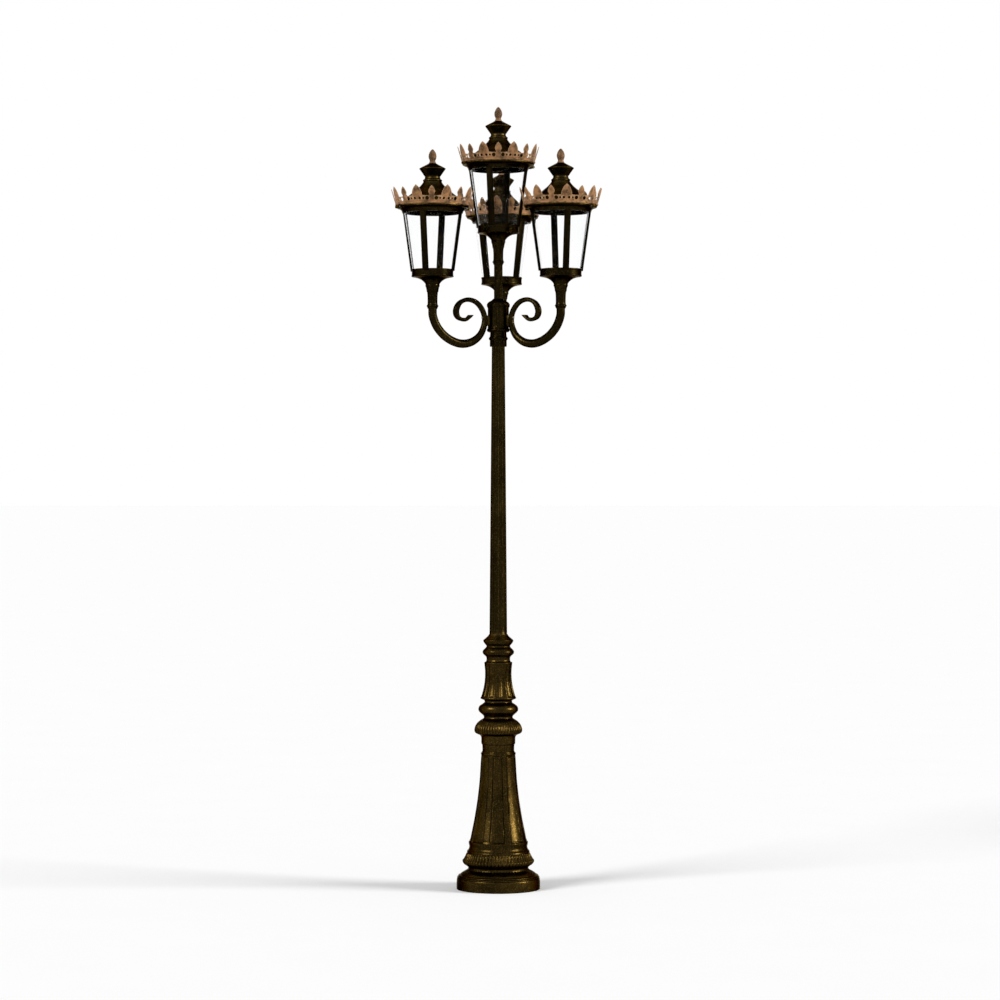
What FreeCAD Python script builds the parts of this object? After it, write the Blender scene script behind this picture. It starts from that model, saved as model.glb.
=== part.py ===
import FreeCAD, Part
import math
import os

# A four-light lamp post: a cast base and fluted shaft, a hub with three scroll arms set a third of a
# turn apart, one lantern on each arm and a fourth, raised, on a stem above the hub.
# Millimetres. The origin is the centre of the ground face, +Z is up, and the rear arm points along +Y.
# An outline is a list of (height share, radius share) of its own piece's height and widest radius.

# ---- running and assembly gaps
SPIGOT_GAP = 0.3
SCREW_GAP = 0.2
RUNNING_GAP = 0.05
PRESS_GAP = 0.01
LID_GAP = 0.3
CUP_GLASS_GAP = 0.5
OVERRUN = 1.0

# ---- base casting
BASE_HEIGHT = 611.0
BASE_RADIUS = 187.0
BASE_FLANGE_THICKNESS = 14.0
BASE_FLANGE_BORE_RADIUS = 105.0
ANCHOR_CIRCLE_DIAMETER = 280.0
ANCHOR_HOLE_RADIUS = 9.0
ANCHOR_COUNT = 4
PANEL_COUNT = 8
PANEL_RECESS_SHARE = 0.96
PANEL_CORNERS = (-18.0, -16.5, -6.0, 6.0, 16.5, 18.0)
PANEL_SUNK_CORNERS = (False, True, True, True, True, False)
BASE_OUTLINE = [
    (0.0, 1.0), (0.092, 0.979), (0.121, 0.856), (0.151, 0.722), (0.165, 0.733), (0.195, 0.845),
    (0.21, 0.856), (0.224, 0.818), (0.311, 0.695), (0.34, 0.709), (0.37, 0.69),
]
BASE_TAPER = [(0.395, 0.668), (0.4, 0.663), (0.503, 0.599), (0.7, 0.495), (0.958, 0.421)]
BASE_CROWNING = [(0.965, 0.42), (1.0, 0.405)]
BASE_CAVITY_FOOT_SHARE = 0.93
BASE_CAVITY = [(0.1, 0.87), (0.15, 0.63), (0.4, 0.59), (0.503, 0.55), (0.795, 0.41), (0.94, 0.37)]

# ---- access door in the rear panel of the base
DOOR_WIDTH = 52.0
DOOR_SILL_SHARE = 0.419
DOOR_HEAD_SHARE = 0.694
DOOR_GAP = 0.5
DOOR_HEAD_GAP = 1.5
DOOR_HINGE_DROP = 6.0
DOOR_HINGE_CLEARANCE = 0.3
DOOR_SWING_ROOM = 2.0
DOOR_STRAP_HEIGHT = 7.0
DOOR_KNUCKLE_RADIUS = 4.5
DOOR_KNUCKLE_WIDTH = 18.0
DOOR_LUG_WIDTH = 6.0
DOOR_LUG_FOOT_REACH = 15.0
DOOR_LUG_FOOT_RISE = 1.4
DOOR_PIN_PROUD = 1.0
DOOR_PIN_RADIUS = 2.0
DOOR_SCREW_RADIUS = 2.5
DOOR_SCREW_HOLE_GAP = 0.9
DOOR_SCREW_DROP = 9.0
DOOR_SCREW_HEAD_RADIUS = 5.0
DOOR_SCREW_HEAD_HEIGHT = 4.0
DOOR_SCREW_BITE = 3.0
DOOR_CATCH_WIDTH = 16.0
DOOR_CATCH_DEPTH = 9.0
DOOR_CATCH_HEIGHT = 32.0
DOOR_CATCH_CLEARANCE = 2.0

# ---- fuse unit strapped to the foot of the shaft, behind the door
FUSE_WIDTH = 46.0
FUSE_DEPTH = 26.0
FUSE_HEIGHT = 130.0
FUSE_ABOVE_SILL = 14.0
FUSE_CHAMFER = 4.0

# ---- half of the land between two flutes, as a share of their pitch
FLUTE_LAND_SHARE = 0.2

# ---- castings threaded on the shaft above the base
BELL_HEIGHT = 234.0
BELL_RADIUS = 107.3
BELL_LOBES = 18
BELL_LOBE_SHARE = 0.955
BELL_FOOT = [(0.0, 0.71), (0.04, 0.66), (0.154, 0.675), (0.2, 0.712), (0.345, 0.75)]
BELL_GADROONS = [(0.345, 0.806), (0.385, 0.985), (0.42, 1.0), (0.5, 0.966), (0.577, 0.848), (0.654, 0.611)]
BELL_HEAD = [(0.654, 0.611), (0.69, 0.605), (0.77, 0.789), (0.81, 0.833), (0.845, 0.833), (0.923, 0.677),
             (0.962, 0.576), (1.0, 0.59)]

VASE_HEIGHT = 179.0
VASE_RADIUS = 80.2
VASE_FLUTES = 16
VASE_FLUTE_SHARE = 0.94
VASE_OUTLINE = [(0.0, 0.8), (0.045, 1.0), (0.2, 0.892), (0.4, 0.785), (0.6, 0.741), (0.93, 0.771)]
VASE_LIP = [(0.93, 0.771), (0.95, 0.655), (1.0, 0.655)]

RING_COLLAR_HEIGHT = 116.0
RING_COLLAR_RADIUS = 70.6
RING_COLLAR_OUTLINE = [
    (0.0, 0.744), (0.155, 0.822), (0.3, 1.0), (0.38, 0.963), (0.535, 0.745), (0.69, 0.929), (0.767, 0.955),
    (0.845, 0.816), (1.0, 0.574),
]

# ---- fluted shaft with its plain tail and top spigot
SHAFT_HEIGHT = 1288.0
SHAFT_FOOT_RADIUS = 39.9
SHAFT_HEAD_RADIUS = 29.6
SHAFT_FLUTES = 14
SHAFT_FLUTE_SHARE = 0.92
SHAFT_BORE_RADIUS = 20.0
SHAFT_TAIL_RADIUS = 32.0
SHAFT_TAIL_LENGTH = 900.0
SHAFT_SPIGOT_RADIUS = 24.0
SHAFT_SPIGOT_LENGTH = 105.0

# ---- hub, its collar and the stem of the raised lantern
HUB_COLLAR_HEIGHT = 65.0
HUB_COLLAR_RADIUS = 42.6
HUB_COLLAR_OUTLINE = [(0.0, 0.88), (0.46, 0.89), (0.55, 1.0), (0.65, 0.89), (1.0, 0.86)]
HUB_HEIGHT = 150.0
HUB_RADIUS = 51.5
HUB_FLUTES = 12
HUB_FLUTE_SHARE = 0.95
HUB_FOOT = [(0.0, 0.95), (0.09, 1.0), (0.13, 0.93)]
HUB_BARREL = [(0.13, 0.93), (0.72, 0.93)]
HUB_HEAD = [(0.72, 0.93), (0.76, 1.0), (0.84, 1.0), (0.9, 0.85), (0.95, 0.62), (1.0, 0.42)]
STEM_RADIUS = 19.5
STEM_SPIGOT_LENGTH = 35.0

# ---- scroll arms: (share of the reach beyond the hub, share of the arm's height, in-plane, across)
ARM_AZIMUTHS = {"back": 90.0, "left": 210.0, "right": 330.0}
ARM_REACH = 328.0
ARM_HEIGHT = 151.0
ARM_SEAT_HEIGHT = 50.0
ARM_TUBE_RADIUS = 19.0
ARM_BAR_HALF_WIDTH = 14.5
ARM_SPIGOT_RADIUS = 14.0
ARM_SPIGOT_LENGTH = 30.0
ARM_STATIONS = 22
ARM_PATH = [
    (1.0, 1.0), (0.996, 0.81), (0.943, 0.55), (0.877, 0.377), (0.772, 0.2), (0.617, 0.053), (0.461, 0.0),
    (0.284, 0.073), (0.132, 0.305), (0.06, 0.702), (0.103, 1.007), (0.219, 1.238), (0.378, 1.305),
    (0.519, 1.192), (0.58, 0.954), (0.548, 0.781), (0.461, 0.715), (0.385, 0.755), (0.342, 0.848),
]
ARM_TUBE_END = 0.3
ARM_WIDTH_END = 0.48
ARM_BAR_END = 0.62
ARM_CURL_START = 0.86
ARM_BUD_START = 0.9
ARM_BUD_FULL = 0.97
ARM_BAR_HALF_DEPTH = 12.0
ARM_CURL_HALF_DEPTH = 8.5
ARM_BUD_HALF_DEPTH = 14.0
ARM_PAD_HEIGHT = 46.0
ARM_PAD_WIDTH = 22.0
ARM_PAD_LAP = 12.4
ARM_SPIGOT_LAP = 2.0
ARM_SCREW_SEAT_SHARE = 0.75
ARM_SCREW_SPACING = 26.0
ARM_SCREW_RADIUS = 3.5
ARM_SCREW_HEAD_RADIUS = 7.0
ARM_SCREW_HEAD_GAP = 1.2
ARM_SCREW_HEAD_HEIGHT = 5.0
ARM_SCREW_BITE = 14.0

# ---- lantern, in its own frame: the cup's floor is at height 0 and its hinge points along +X
NECK_HEIGHT = 141.0
CUP_HEIGHT = 33.4
CUP_RADIUS = 93.5
CUP_FLOOR = 8.0
CUP_WALL = 2.4
NECK_OUTLINE = [
    (0.0, 0.225), (0.05, 0.244), (0.085, 0.28), (0.142, 0.237), (0.518, 0.25), (0.688, 0.336),
    (0.766, 0.336), (0.894, 0.495), (0.953, 0.663), (1.0, 0.986),
]
UPRIGHT_HEIGHT = 249.0
UPRIGHT_FOOT_RADIUS = 99.0
UPRIGHT_HEAD_RADIUS = 134.0
UPRIGHT_WIDTH = 28.5
UPRIGHT_THICKNESS = 7.5
UPRIGHT_LAP = 8.0
UPRIGHT_COUNT = 4
GLASS_THICKNESS = 3.0
GLASS_GAP = 1.0
GLASS_REBATE = 10.0
RING_HEIGHT = 28.0
RING_RADIUS = 160.5
RING_BORE_RADIUS = 129.0
RING_OUTLINE = [(0.0, 0.838), (0.35, 0.86), (0.78, 0.98), (0.9, 1.0), (1.0, 0.99)]
RING_LUG_ROOT_SHARE = 0.97
RING_REBATE = [(0.6, 1.01), (0.95, 1.13)]

# ---- roof, crown, cap and finial, which open together
FLANGE_THICKNESS = 3.0
ROOF_HEIGHT = 125.0
ROOF_RADIUS = 158.0
ROOF_WALL = 5.0
ROOF_OUTLINE = [(0.1, 0.93), (0.36, 0.71), (0.6, 0.47), (0.784, 0.31), (1.0, 0.222)]
ROOF_CAVITY_TOP = 0.74
CROWN_HEIGHT = 85.0
CROWN_RADIUS = 163.0
CROWN_SHEET = 3.0
CROWN_FLARE = 0.29
CROWN_BEAD = 3.0
CROWN_SIDES = 32
CROWN_LEAVES = 8
CROWN_CUT_DEPTH = 35.0
CROWN_TURN = -4.8
LEAF_HEIGHT = 79.0
BUD_HEIGHT = 74.0
LEAF_SHOULDER = (22.0, 41.0)
BUD_BULGE = (14.0, 47.0)
BUD_WAIST = (9.0, 34.0)
VALLEY_HEIGHT = 32.0
TIP_OVERLAP = 1.6
CROWN_HOLE_HEIGHT = 21.0
CROWN_BIG_HOLE_TURN = 7.0
CROWN_BIG_HOLE_RADIUS = 6.0
CROWN_SMALL_HOLE_TURN = 18.5
CROWN_SMALL_HOLE_RADIUS = 4.2
CAP_HEIGHT = 77.0
CAP_RADIUS = 58.0
CAP_OUTLINE = [(0.0, 0.58), (0.2, 0.65), (0.45, 0.91), (0.57, 1.0), (0.62, 0.98), (0.88, 0.28), (1.0, 0.2)]
FINIAL_HEIGHT = 54.0
FINIAL_RADIUS = 17.7
FINIAL_OUTLINE = [(0.0, 0.6), (0.15, 0.72), (0.36, 1.0), (0.62, 0.8), (0.86, 0.4), (1.0, 0.1)]

# ---- light module hung under the roof
LAMP_RADIUS = 62.0
LAMP_THICKNESS = 14.0
LAMP_DROP = 8.0
LAMP_NECK_RADIUS = 24.0

# ---- lantern hinge and closing screw
HINGE_OUT = 170.0
HINGE_DROP = 6.5
KNUCKLE_RADIUS = 6.2
ROOF_KNUCKLE_WIDTH = 16.0
RING_KNUCKLE_WIDTH = 9.0
KNUCKLE_SIDE_GAP = 0.5
HINGE_PIN_RADIUS = 3.0
HINGE_PIN_PROUD = 1.0
LUG_THICKNESS = 9.0
CLOSING_OUT = 172.5
CLOSING_LUG_WIDTH = 18.0
CLOSING_LUG_END = 7.0
CLOSING_SCREW_RADIUS = 2.5
CLOSING_SCREW_HEAD_RADIUS = 5.0
CLOSING_SCREW_HEAD_HEIGHT = 4.0
CLOSING_SCREW_BITE = 7.0
CLOSING_HOLE_GAP = 0.9
CENTRE_LANTERN_RISE = 207.0
CENTRE_LANTERN_AZIMUTH = 30.0

# ---- how many flat sides stand in for a round
CASTING_SIDES = 24
BAND_SIDES = 16
TUBE_SIDES = 12
SMALL_SIDES = 8
BAR_SIDES = 8
HEAD_SIDES = 6
PIERCING_SIDES = 4
TUBE_TURN = 180.0 / TUBE_SIDES
FLAT_ENOUGH = 1e-6

UP = FreeCAD.Vector(0, 0, 1)
ORIGIN = FreeCAD.Vector(0, 0, 0)

# ---- heights of the stack, worked out from the pieces
DOOR_SILL_Z = BASE_HEIGHT * DOOR_SILL_SHARE
DOOR_HEAD_Z = BASE_HEIGHT * DOOR_HEAD_SHARE
BELL_FOOT_Z = BASE_HEIGHT
VASE_FOOT_Z = BELL_FOOT_Z + BELL_HEIGHT
RING_COLLAR_FOOT_Z = VASE_FOOT_Z + VASE_HEIGHT
SHAFT_FOOT_Z = RING_COLLAR_FOOT_Z + RING_COLLAR_HEIGHT
HUB_COLLAR_FOOT_Z = SHAFT_FOOT_Z + SHAFT_HEIGHT
HUB_FOOT_Z = HUB_COLLAR_FOOT_Z + HUB_COLLAR_HEIGHT
HUB_HEAD_Z = HUB_FOOT_Z + HUB_HEIGHT
ARM_SEAT_Z = HUB_FOOT_Z + ARM_SEAT_HEIGHT
ARM_SEAT_SHARE = 0.702
ARM_FOOT_Z = ARM_SEAT_Z - ARM_SEAT_SHARE * ARM_HEIGHT
ARM_HEAD_Z = ARM_FOOT_Z + ARM_HEIGHT
LANTERN_Z = ARM_HEAD_Z + NECK_HEIGHT
STEM_HEAD_Z = ARM_HEAD_Z + CENTRE_LANTERN_RISE

# ---- heights inside a lantern
RING_FOOT_Z = CUP_HEIGHT + UPRIGHT_HEIGHT
RING_HEAD_Z = RING_FOOT_Z + RING_HEIGHT
ROOF_FOOT_Z = RING_HEAD_Z + LID_GAP
CROWN_FOOT_Z = ROOF_FOOT_Z + FLANGE_THICKNESS
CAP_FOOT_Z = ROOF_FOOT_Z + ROOF_HEIGHT
FINIAL_FOOT_Z = CAP_FOOT_Z + CAP_HEIGHT
HINGE_Z = RING_HEAD_Z - HINGE_DROP


def polar(radius, degrees, height):
    """A point given by its distance from the axis, its azimuth and its height."""
    angle = math.radians(degrees)
    return FreeCAD.Vector(radius * math.cos(angle), radius * math.sin(angle), height)


def regular(radius, height, sides, turn=0.0):
    """The corners of a level regular polygon whose corners lie on the round it stands in for."""
    return [polar(radius, turn + 360.0 * corner / sides, height) for corner in range(sides)]


def fluted(radius, height, flutes, share):
    """The corners of a level fluted section: a narrow land, then a hollow sunk to a share of the radius."""
    pitch = 360.0 / flutes
    corners = []
    for flute in range(flutes):
        start = flute * pitch
        corners.append(polar(radius, start - FLUTE_LAND_SHARE * pitch, height))
        corners.append(polar(radius, start + FLUTE_LAND_SHARE * pitch, height))
        corners.append(polar(radius * share, start + pitch / 2, height))
    return corners


def lobed(radius, height, lobes, share):
    """The corners of a level lobed section: the crest of each lobe, then the valley beside it."""
    corners = []
    for lobe in range(lobes):
        corners.append(polar(radius, 360.0 * lobe / lobes, height))
        corners.append(polar(radius * share, 360.0 * (lobe + 0.5) / lobes, height))
    return corners


def is_flat(corners):
    """Whether four corners lie in one plane."""
    normal = (corners[1] - corners[0]).cross(corners[2] - corners[0])
    if normal.Length < FLAT_ENOUGH:
        return False
    return abs((corners[3] - corners[0]).dot(normal) / normal.Length) < FLAT_ENOUGH


def face(corners):
    """A flat face with straight edges."""
    return Part.Face(Part.makePolygon(corners + corners[:1]))


def skin(rings):
    """A solid whose straight-sided walls join rings of as many corners each, closed at both ends."""
    faces = [face(rings[0]), face(rings[-1])]
    for lower, upper in zip(rings, rings[1:]):
        for near in range(len(lower)):
            far = (near + 1) % len(lower)
            corners = [lower[near], lower[far], upper[far], upper[near]]
            if is_flat(corners):
                faces.append(face(corners))
            else:
                faces.append(face(corners[:3]))
                faces.append(face([corners[2], corners[3], corners[0]]))
    solid = Part.Solid(Part.Shell(faces))
    if solid.Volume < 0:
        solid.reverse()
    return solid


def turned(outline, foot, height, radius, sides, turn=0.0):
    """A turned piece: its outline in shares of its height and radius, standing at foot."""
    return skin([regular(radius * wide, foot + height * high, sides, turn) for high, wide in outline])


def drum(radius, foot, head, sides, turn=0.0):
    """An upright straight-sided drum."""
    return skin([regular(radius, foot, sides, turn), regular(radius, head, sides, turn)])


def block(low, high):
    """A rectangular block between two corners."""
    size = [b - a for a, b in zip(low, high)]
    return Part.makeBox(size[0], size[1], size[2], FreeCAD.Vector(*low))


def rod(radius, start, end):
    """A round rod between two points."""
    along = end - start
    return Part.makeCylinder(radius, along.Length, start, along)


def prism(radius, start, end, sides):
    """A straight-sided bar between two points, such as a screw's shank or head."""
    along = end - start
    side = along.cross(UP) if along.cross(UP).Length > FLAT_ENOUGH else FreeCAD.Vector(1, 0, 0)
    side.normalize()
    across = along.cross(side).normalize()
    corners = []
    for corner in range(sides):
        angle = math.radians(360.0 * (corner + 0.5) / sides)
        corners.append(start + side * (radius * math.cos(angle)) + across * (radius * math.sin(angle)))
    return face(corners).extrude(along)


def spun(shape, degrees):
    """A copy of a shape turned about the vertical axis."""
    copy = shape.copy()
    copy.rotate(ORIGIN, UP, degrees)
    return copy


def around(shape, count, start=0.0):
    """Copies of a shape spread evenly about the vertical axis."""
    return [spun(shape, start + 360.0 * step / count) for step in range(count)]


def between(outline, share):
    """The radius share of an outline at a height share."""
    for (low, low_wide), (high, high_wide) in zip(outline, outline[1:]):
        if low <= share <= high:
            return low_wide + (high_wide - low_wide) * (share - low) / (high - low)
    return outline[-1][1]


def shaft_passage(foot, head):
    """The way through a casting for the shaft's plain tail."""
    return drum(SHAFT_TAIL_RADIUS + SPIGOT_GAP, foot, head, TUBE_SIDES, TUBE_TURN)


# ---------------------------------------------------------------- base and what it carries
def base_ring(high, wide, sunk):
    """One level of the base casting, with the corners that the eight panels need."""
    corners = []
    for panel in range(PANEL_COUNT):
        for degrees, sinks in zip(PANEL_CORNERS, PANEL_SUNK_CORNERS):
            share = PANEL_RECESS_SHARE if sunk and sinks else 1.0
            azimuth = degrees + 360.0 * panel / PANEL_COUNT
            corners.append(polar(BASE_RADIUS * wide * share, azimuth, BASE_HEIGHT * high))
    return corners


def base_body():
    """The base casting with its panels, flange, cavity and anchor holes, before the door is cut."""
    plinth = turned(BASE_OUTLINE, 0.0, BASE_HEIGHT, BASE_RADIUS, CASTING_SIDES)
    rings = [base_ring(high, wide, False) for high, wide in (BASE_OUTLINE[-1], BASE_TAPER[0])]
    rings += [base_ring(high, wide, True) for high, wide in BASE_TAPER[1:]]
    rings += [base_ring(high, wide, False) for high, wide in BASE_CROWNING]
    outside = plinth.fuse(skin(rings))
    cavity_outline = [(BASE_FLANGE_THICKNESS / BASE_HEIGHT, BASE_CAVITY_FOOT_SHARE)] + BASE_CAVITY
    cavity = turned(cavity_outline, 0.0, BASE_HEIGHT, BASE_RADIUS, BAND_SIDES)
    cable_way = drum(BASE_FLANGE_BORE_RADIUS, -OVERRUN, BASE_FLANGE_THICKNESS + OVERRUN, BAND_SIDES)
    shaft_way = shaft_passage(BASE_HEIGHT * BASE_CAVITY[-1][0] - OVERRUN, BASE_HEIGHT + OVERRUN)
    hole = rod(ANCHOR_HOLE_RADIUS, FreeCAD.Vector(ANCHOR_CIRCLE_DIAMETER / 2, 0, -OVERRUN),
               FreeCAD.Vector(ANCHOR_CIRCLE_DIAMETER / 2, 0, BASE_FLANGE_THICKNESS + OVERRUN))
    holes = around(hole, ANCHOR_COUNT, 180.0 / ANCHOR_COUNT)
    return outside.cut([cavity, cable_way, shaft_way] + holes)


def door_hinge_z():
    """The height of the access door's hinge pin, just under the door."""
    return DOOR_SILL_Z - DOOR_HINGE_DROP


def door_hinge_out():
    """How far the access door's hinge pin is from the axis, just outside the panel at the door's sill."""
    return BASE_RADIUS * between(BASE_TAPER, DOOR_SILL_SHARE) + DOOR_HINGE_CLEARANCE


def door_lugs():
    """The casting's two knuckles for the door, each on a foot that reaches the panel."""
    height = door_hinge_z()
    out = door_hinge_out()
    lugs = []
    for side in (-1, 1):
        near = side * (DOOR_KNUCKLE_WIDTH / 2 + DOOR_GAP)
        far = side * (DOOR_KNUCKLE_WIDTH / 2 + DOOR_GAP + DOOR_LUG_WIDTH)
        low, high = min(near, far), max(near, far)
        barrel = prism(DOOR_KNUCKLE_RADIUS, FreeCAD.Vector(low, out, height),
                       FreeCAD.Vector(high, out, height), SMALL_SIDES)
        foot = block((low, out - DOOR_LUG_FOOT_REACH, height - DOOR_KNUCKLE_RADIUS),
                     (high, out, height + DOOR_LUG_FOOT_RISE))
        lugs += [barrel, foot]
    return lugs


def door_pin_rod(radius):
    """A rod on the door's hinge line, reaching a little past the lugs."""
    reach = DOOR_KNUCKLE_WIDTH / 2 + DOOR_GAP + DOOR_LUG_WIDTH + DOOR_PIN_PROUD
    height = door_hinge_z()
    out = door_hinge_out()
    return rod(radius, FreeCAD.Vector(-reach, out, height), FreeCAD.Vector(reach, out, height))


def door_screw_line():
    """Where the door screw's head seats, its height, and where its catch begins."""
    height = DOOR_HEAD_Z - DOOR_SCREW_DROP
    share = height / BASE_HEIGHT
    panel = BASE_RADIUS * between(BASE_TAPER, share) * PANEL_RECESS_SHARE
    seat = panel * math.cos(math.radians(PANEL_CORNERS[3]))
    wall = BASE_RADIUS * between(BASE_CAVITY, share)
    catch = wall * math.cos(math.radians(180.0 / BAND_SIDES)) - DOOR_CATCH_CLEARANCE
    return seat, height, catch


def base_door(body):
    """The access door: its panel cut from the base casting, with its knuckle, strap and screw hole."""
    half = DOOR_KNUCKLE_WIDTH / 2
    height = door_hinge_z()
    out = door_hinge_out()
    seat, screw_z, catch = door_screw_line()
    panel = body.common(block((-DOOR_WIDTH / 2, SHAFT_TAIL_RADIUS, DOOR_SILL_Z),
                              (DOOR_WIDTH / 2, BASE_RADIUS, DOOR_HEAD_Z)))
    knuckle = prism(DOOR_KNUCKLE_RADIUS, FreeCAD.Vector(-half, out, height),
                    FreeCAD.Vector(half, out, height), SMALL_SIDES)
    strap = block((-half, out - 2 * DOOR_KNUCKLE_RADIUS, DOOR_SILL_Z),
                  (half, out + DOOR_PIN_RADIUS, DOOR_SILL_Z + DOOR_STRAP_HEIGHT))
    web = block((-half, out - DOOR_PIN_RADIUS, height), (half, out + DOOR_PIN_RADIUS, DOOR_SILL_Z))
    screw_hole = prism(DOOR_SCREW_RADIUS + SCREW_GAP, FreeCAD.Vector(0, catch - DOOR_CATCH_DEPTH, screw_z),
                       FreeCAD.Vector(0, BASE_RADIUS, screw_z), SMALL_SIDES)
    return panel.fuse([knuckle, strap, web]).cut([screw_hole, door_pin_rod(DOOR_PIN_RADIUS + RUNNING_GAP)])


def base_and_door():
    """The base casting, its access door, the door's hinge pin and the door's screw."""
    body = base_body()
    door = base_door(body)
    seat, screw_z, catch = door_screw_line()
    half = DOOR_WIDTH / 2 + DOOR_GAP
    window = block((-half, SHAFT_TAIL_RADIUS, DOOR_SILL_Z - DOOR_GAP),
                   (half, BASE_RADIUS, DOOR_HEAD_Z + DOOR_HEAD_GAP))
    catch_foot = DOOR_HEAD_Z - DOOR_CATCH_HEIGHT / 2
    catch_block = block((-DOOR_CATCH_WIDTH / 2, catch - DOOR_CATCH_DEPTH, catch_foot),
                        (DOOR_CATCH_WIDTH / 2, catch, DOOR_HEAD_Z + DOOR_CATCH_HEIGHT))
    catch_hole = prism(DOOR_SCREW_RADIUS + DOOR_SCREW_HOLE_GAP, FreeCAD.Vector(0, SHAFT_TAIL_RADIUS, screw_z),
                       FreeCAD.Vector(0, BASE_RADIUS, screw_z), SMALL_SIDES)
    height = door_hinge_z()
    out = door_hinge_out()
    swing = DOOR_KNUCKLE_RADIUS + DOOR_SWING_ROOM
    knuckle_room = block((-DOOR_KNUCKLE_WIDTH / 2 - DOOR_GAP, out - swing, height - swing),
                         (DOOR_KNUCKLE_WIDTH / 2 + DOOR_GAP, out + swing, DOOR_SILL_Z))
    casting = body.cut(window).fuse(door_lugs() + [catch_block])
    casting = casting.cut([knuckle_room, catch_hole, door_pin_rod(DOOR_PIN_RADIUS + PRESS_GAP)])

    under_head = FreeCAD.Vector(0, seat, screw_z)
    tip = FreeCAD.Vector(0, catch - DOOR_SCREW_BITE, screw_z)
    head_end = FreeCAD.Vector(0, seat + DOOR_SCREW_HEAD_HEIGHT, screw_z)
    shank = prism(DOOR_SCREW_RADIUS, tip, under_head, SMALL_SIDES)
    head = prism(DOOR_SCREW_HEAD_RADIUS, under_head, head_end, HEAD_SIDES)
    return {
        "base_casting": casting,
        "base_door": door,
        "base_door_hinge_pin": door_pin_rod(DOOR_PIN_RADIUS),
        "base_door_screw": shank.fuse(head).cut(door),
    }


def fuse_unit():
    """The fuse unit, its back against the shaft's tail."""
    back = SHAFT_TAIL_RADIUS * math.cos(math.radians(TUBE_TURN))
    foot = DOOR_SILL_Z + FUSE_ABOVE_SILL
    cover = block((-FUSE_WIDTH / 2, back, foot), (FUSE_WIDTH / 2, back + FUSE_DEPTH, foot + FUSE_HEIGHT))
    front_edges = [edge for edge in cover.Edges if edge.CenterOfMass.y > back + FUSE_DEPTH - FUSE_CHAMFER]
    return cover.makeChamfer(FUSE_CHAMFER, front_edges)


# ---------------------------------------------------------------- castings threaded on the shaft
def bell_collar():
    """The bell collar: a foot ring, a lobed band and a smooth torus above it."""
    foot = turned(BELL_FOOT, BELL_FOOT_Z, BELL_HEIGHT, BELL_RADIUS, CASTING_SIDES)
    rings = [lobed(BELL_RADIUS * wide, BELL_FOOT_Z + BELL_HEIGHT * high, BELL_LOBES, BELL_LOBE_SHARE)
             for high, wide in BELL_GADROONS]
    lobes = skin(rings)
    head = turned(BELL_HEAD, BELL_FOOT_Z, BELL_HEIGHT, BELL_RADIUS, CASTING_SIDES)
    passage = shaft_passage(BELL_FOOT_Z - OVERRUN, VASE_FOOT_Z + OVERRUN)
    return foot.fuse([lobes, head]).cut(passage)


def vase_casting():
    """The fluted vase with its sharp lower lip."""
    rings = [fluted(VASE_RADIUS * wide, VASE_FOOT_Z + VASE_HEIGHT * high, VASE_FLUTES, VASE_FLUTE_SHARE)
             for high, wide in VASE_OUTLINE]
    lip = turned(VASE_LIP, VASE_FOOT_Z, VASE_HEIGHT, VASE_RADIUS, CASTING_SIDES)
    passage = shaft_passage(VASE_FOOT_Z - OVERRUN, RING_COLLAR_FOOT_Z + OVERRUN)
    return skin(rings).fuse(lip).cut(passage)


def ring_collar():
    """The double ring collar at the foot of the fluted shaft."""
    outside = turned(RING_COLLAR_OUTLINE, RING_COLLAR_FOOT_Z, RING_COLLAR_HEIGHT, RING_COLLAR_RADIUS,
                     CASTING_SIDES)
    return outside.cut(shaft_passage(RING_COLLAR_FOOT_Z - OVERRUN, SHAFT_FOOT_Z + OVERRUN))


def shaft():
    """The fluted shaft, its plain tail through the castings and its spigot into the hub, bored for cables."""
    barrel = skin([fluted(SHAFT_FOOT_RADIUS, SHAFT_FOOT_Z, SHAFT_FLUTES, SHAFT_FLUTE_SHARE),
                   fluted(SHAFT_HEAD_RADIUS, HUB_COLLAR_FOOT_Z, SHAFT_FLUTES, SHAFT_FLUTE_SHARE)])
    tail = drum(SHAFT_TAIL_RADIUS, SHAFT_FOOT_Z - SHAFT_TAIL_LENGTH, SHAFT_FOOT_Z, TUBE_SIDES, TUBE_TURN)
    spigot_head = HUB_COLLAR_FOOT_Z + SHAFT_SPIGOT_LENGTH
    spigot = drum(SHAFT_SPIGOT_RADIUS, HUB_COLLAR_FOOT_Z, spigot_head, TUBE_SIDES, TUBE_TURN)
    bore = drum(SHAFT_BORE_RADIUS, SHAFT_FOOT_Z - SHAFT_TAIL_LENGTH - OVERRUN, spigot_head + OVERRUN,
                TUBE_SIDES, TUBE_TURN)
    return barrel.fuse([tail, spigot]).cut(bore)


# ---------------------------------------------------------------- hub, stem and arms
def hub_collar():
    """The beaded collar between the shaft and the hub."""
    outside = turned(HUB_COLLAR_OUTLINE, HUB_COLLAR_FOOT_Z, HUB_COLLAR_HEIGHT, HUB_COLLAR_RADIUS, BAND_SIDES)
    return outside.cut(spigot_socket())


def spigot_socket():
    """The socket that the shaft's top spigot fills, through the collar and up into the hub."""
    return drum(SHAFT_SPIGOT_RADIUS + SPIGOT_GAP, HUB_COLLAR_FOOT_Z - OVERRUN,
                HUB_COLLAR_FOOT_Z + SHAFT_SPIGOT_LENGTH + SPIGOT_GAP, TUBE_SIDES, TUBE_TURN)


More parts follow.
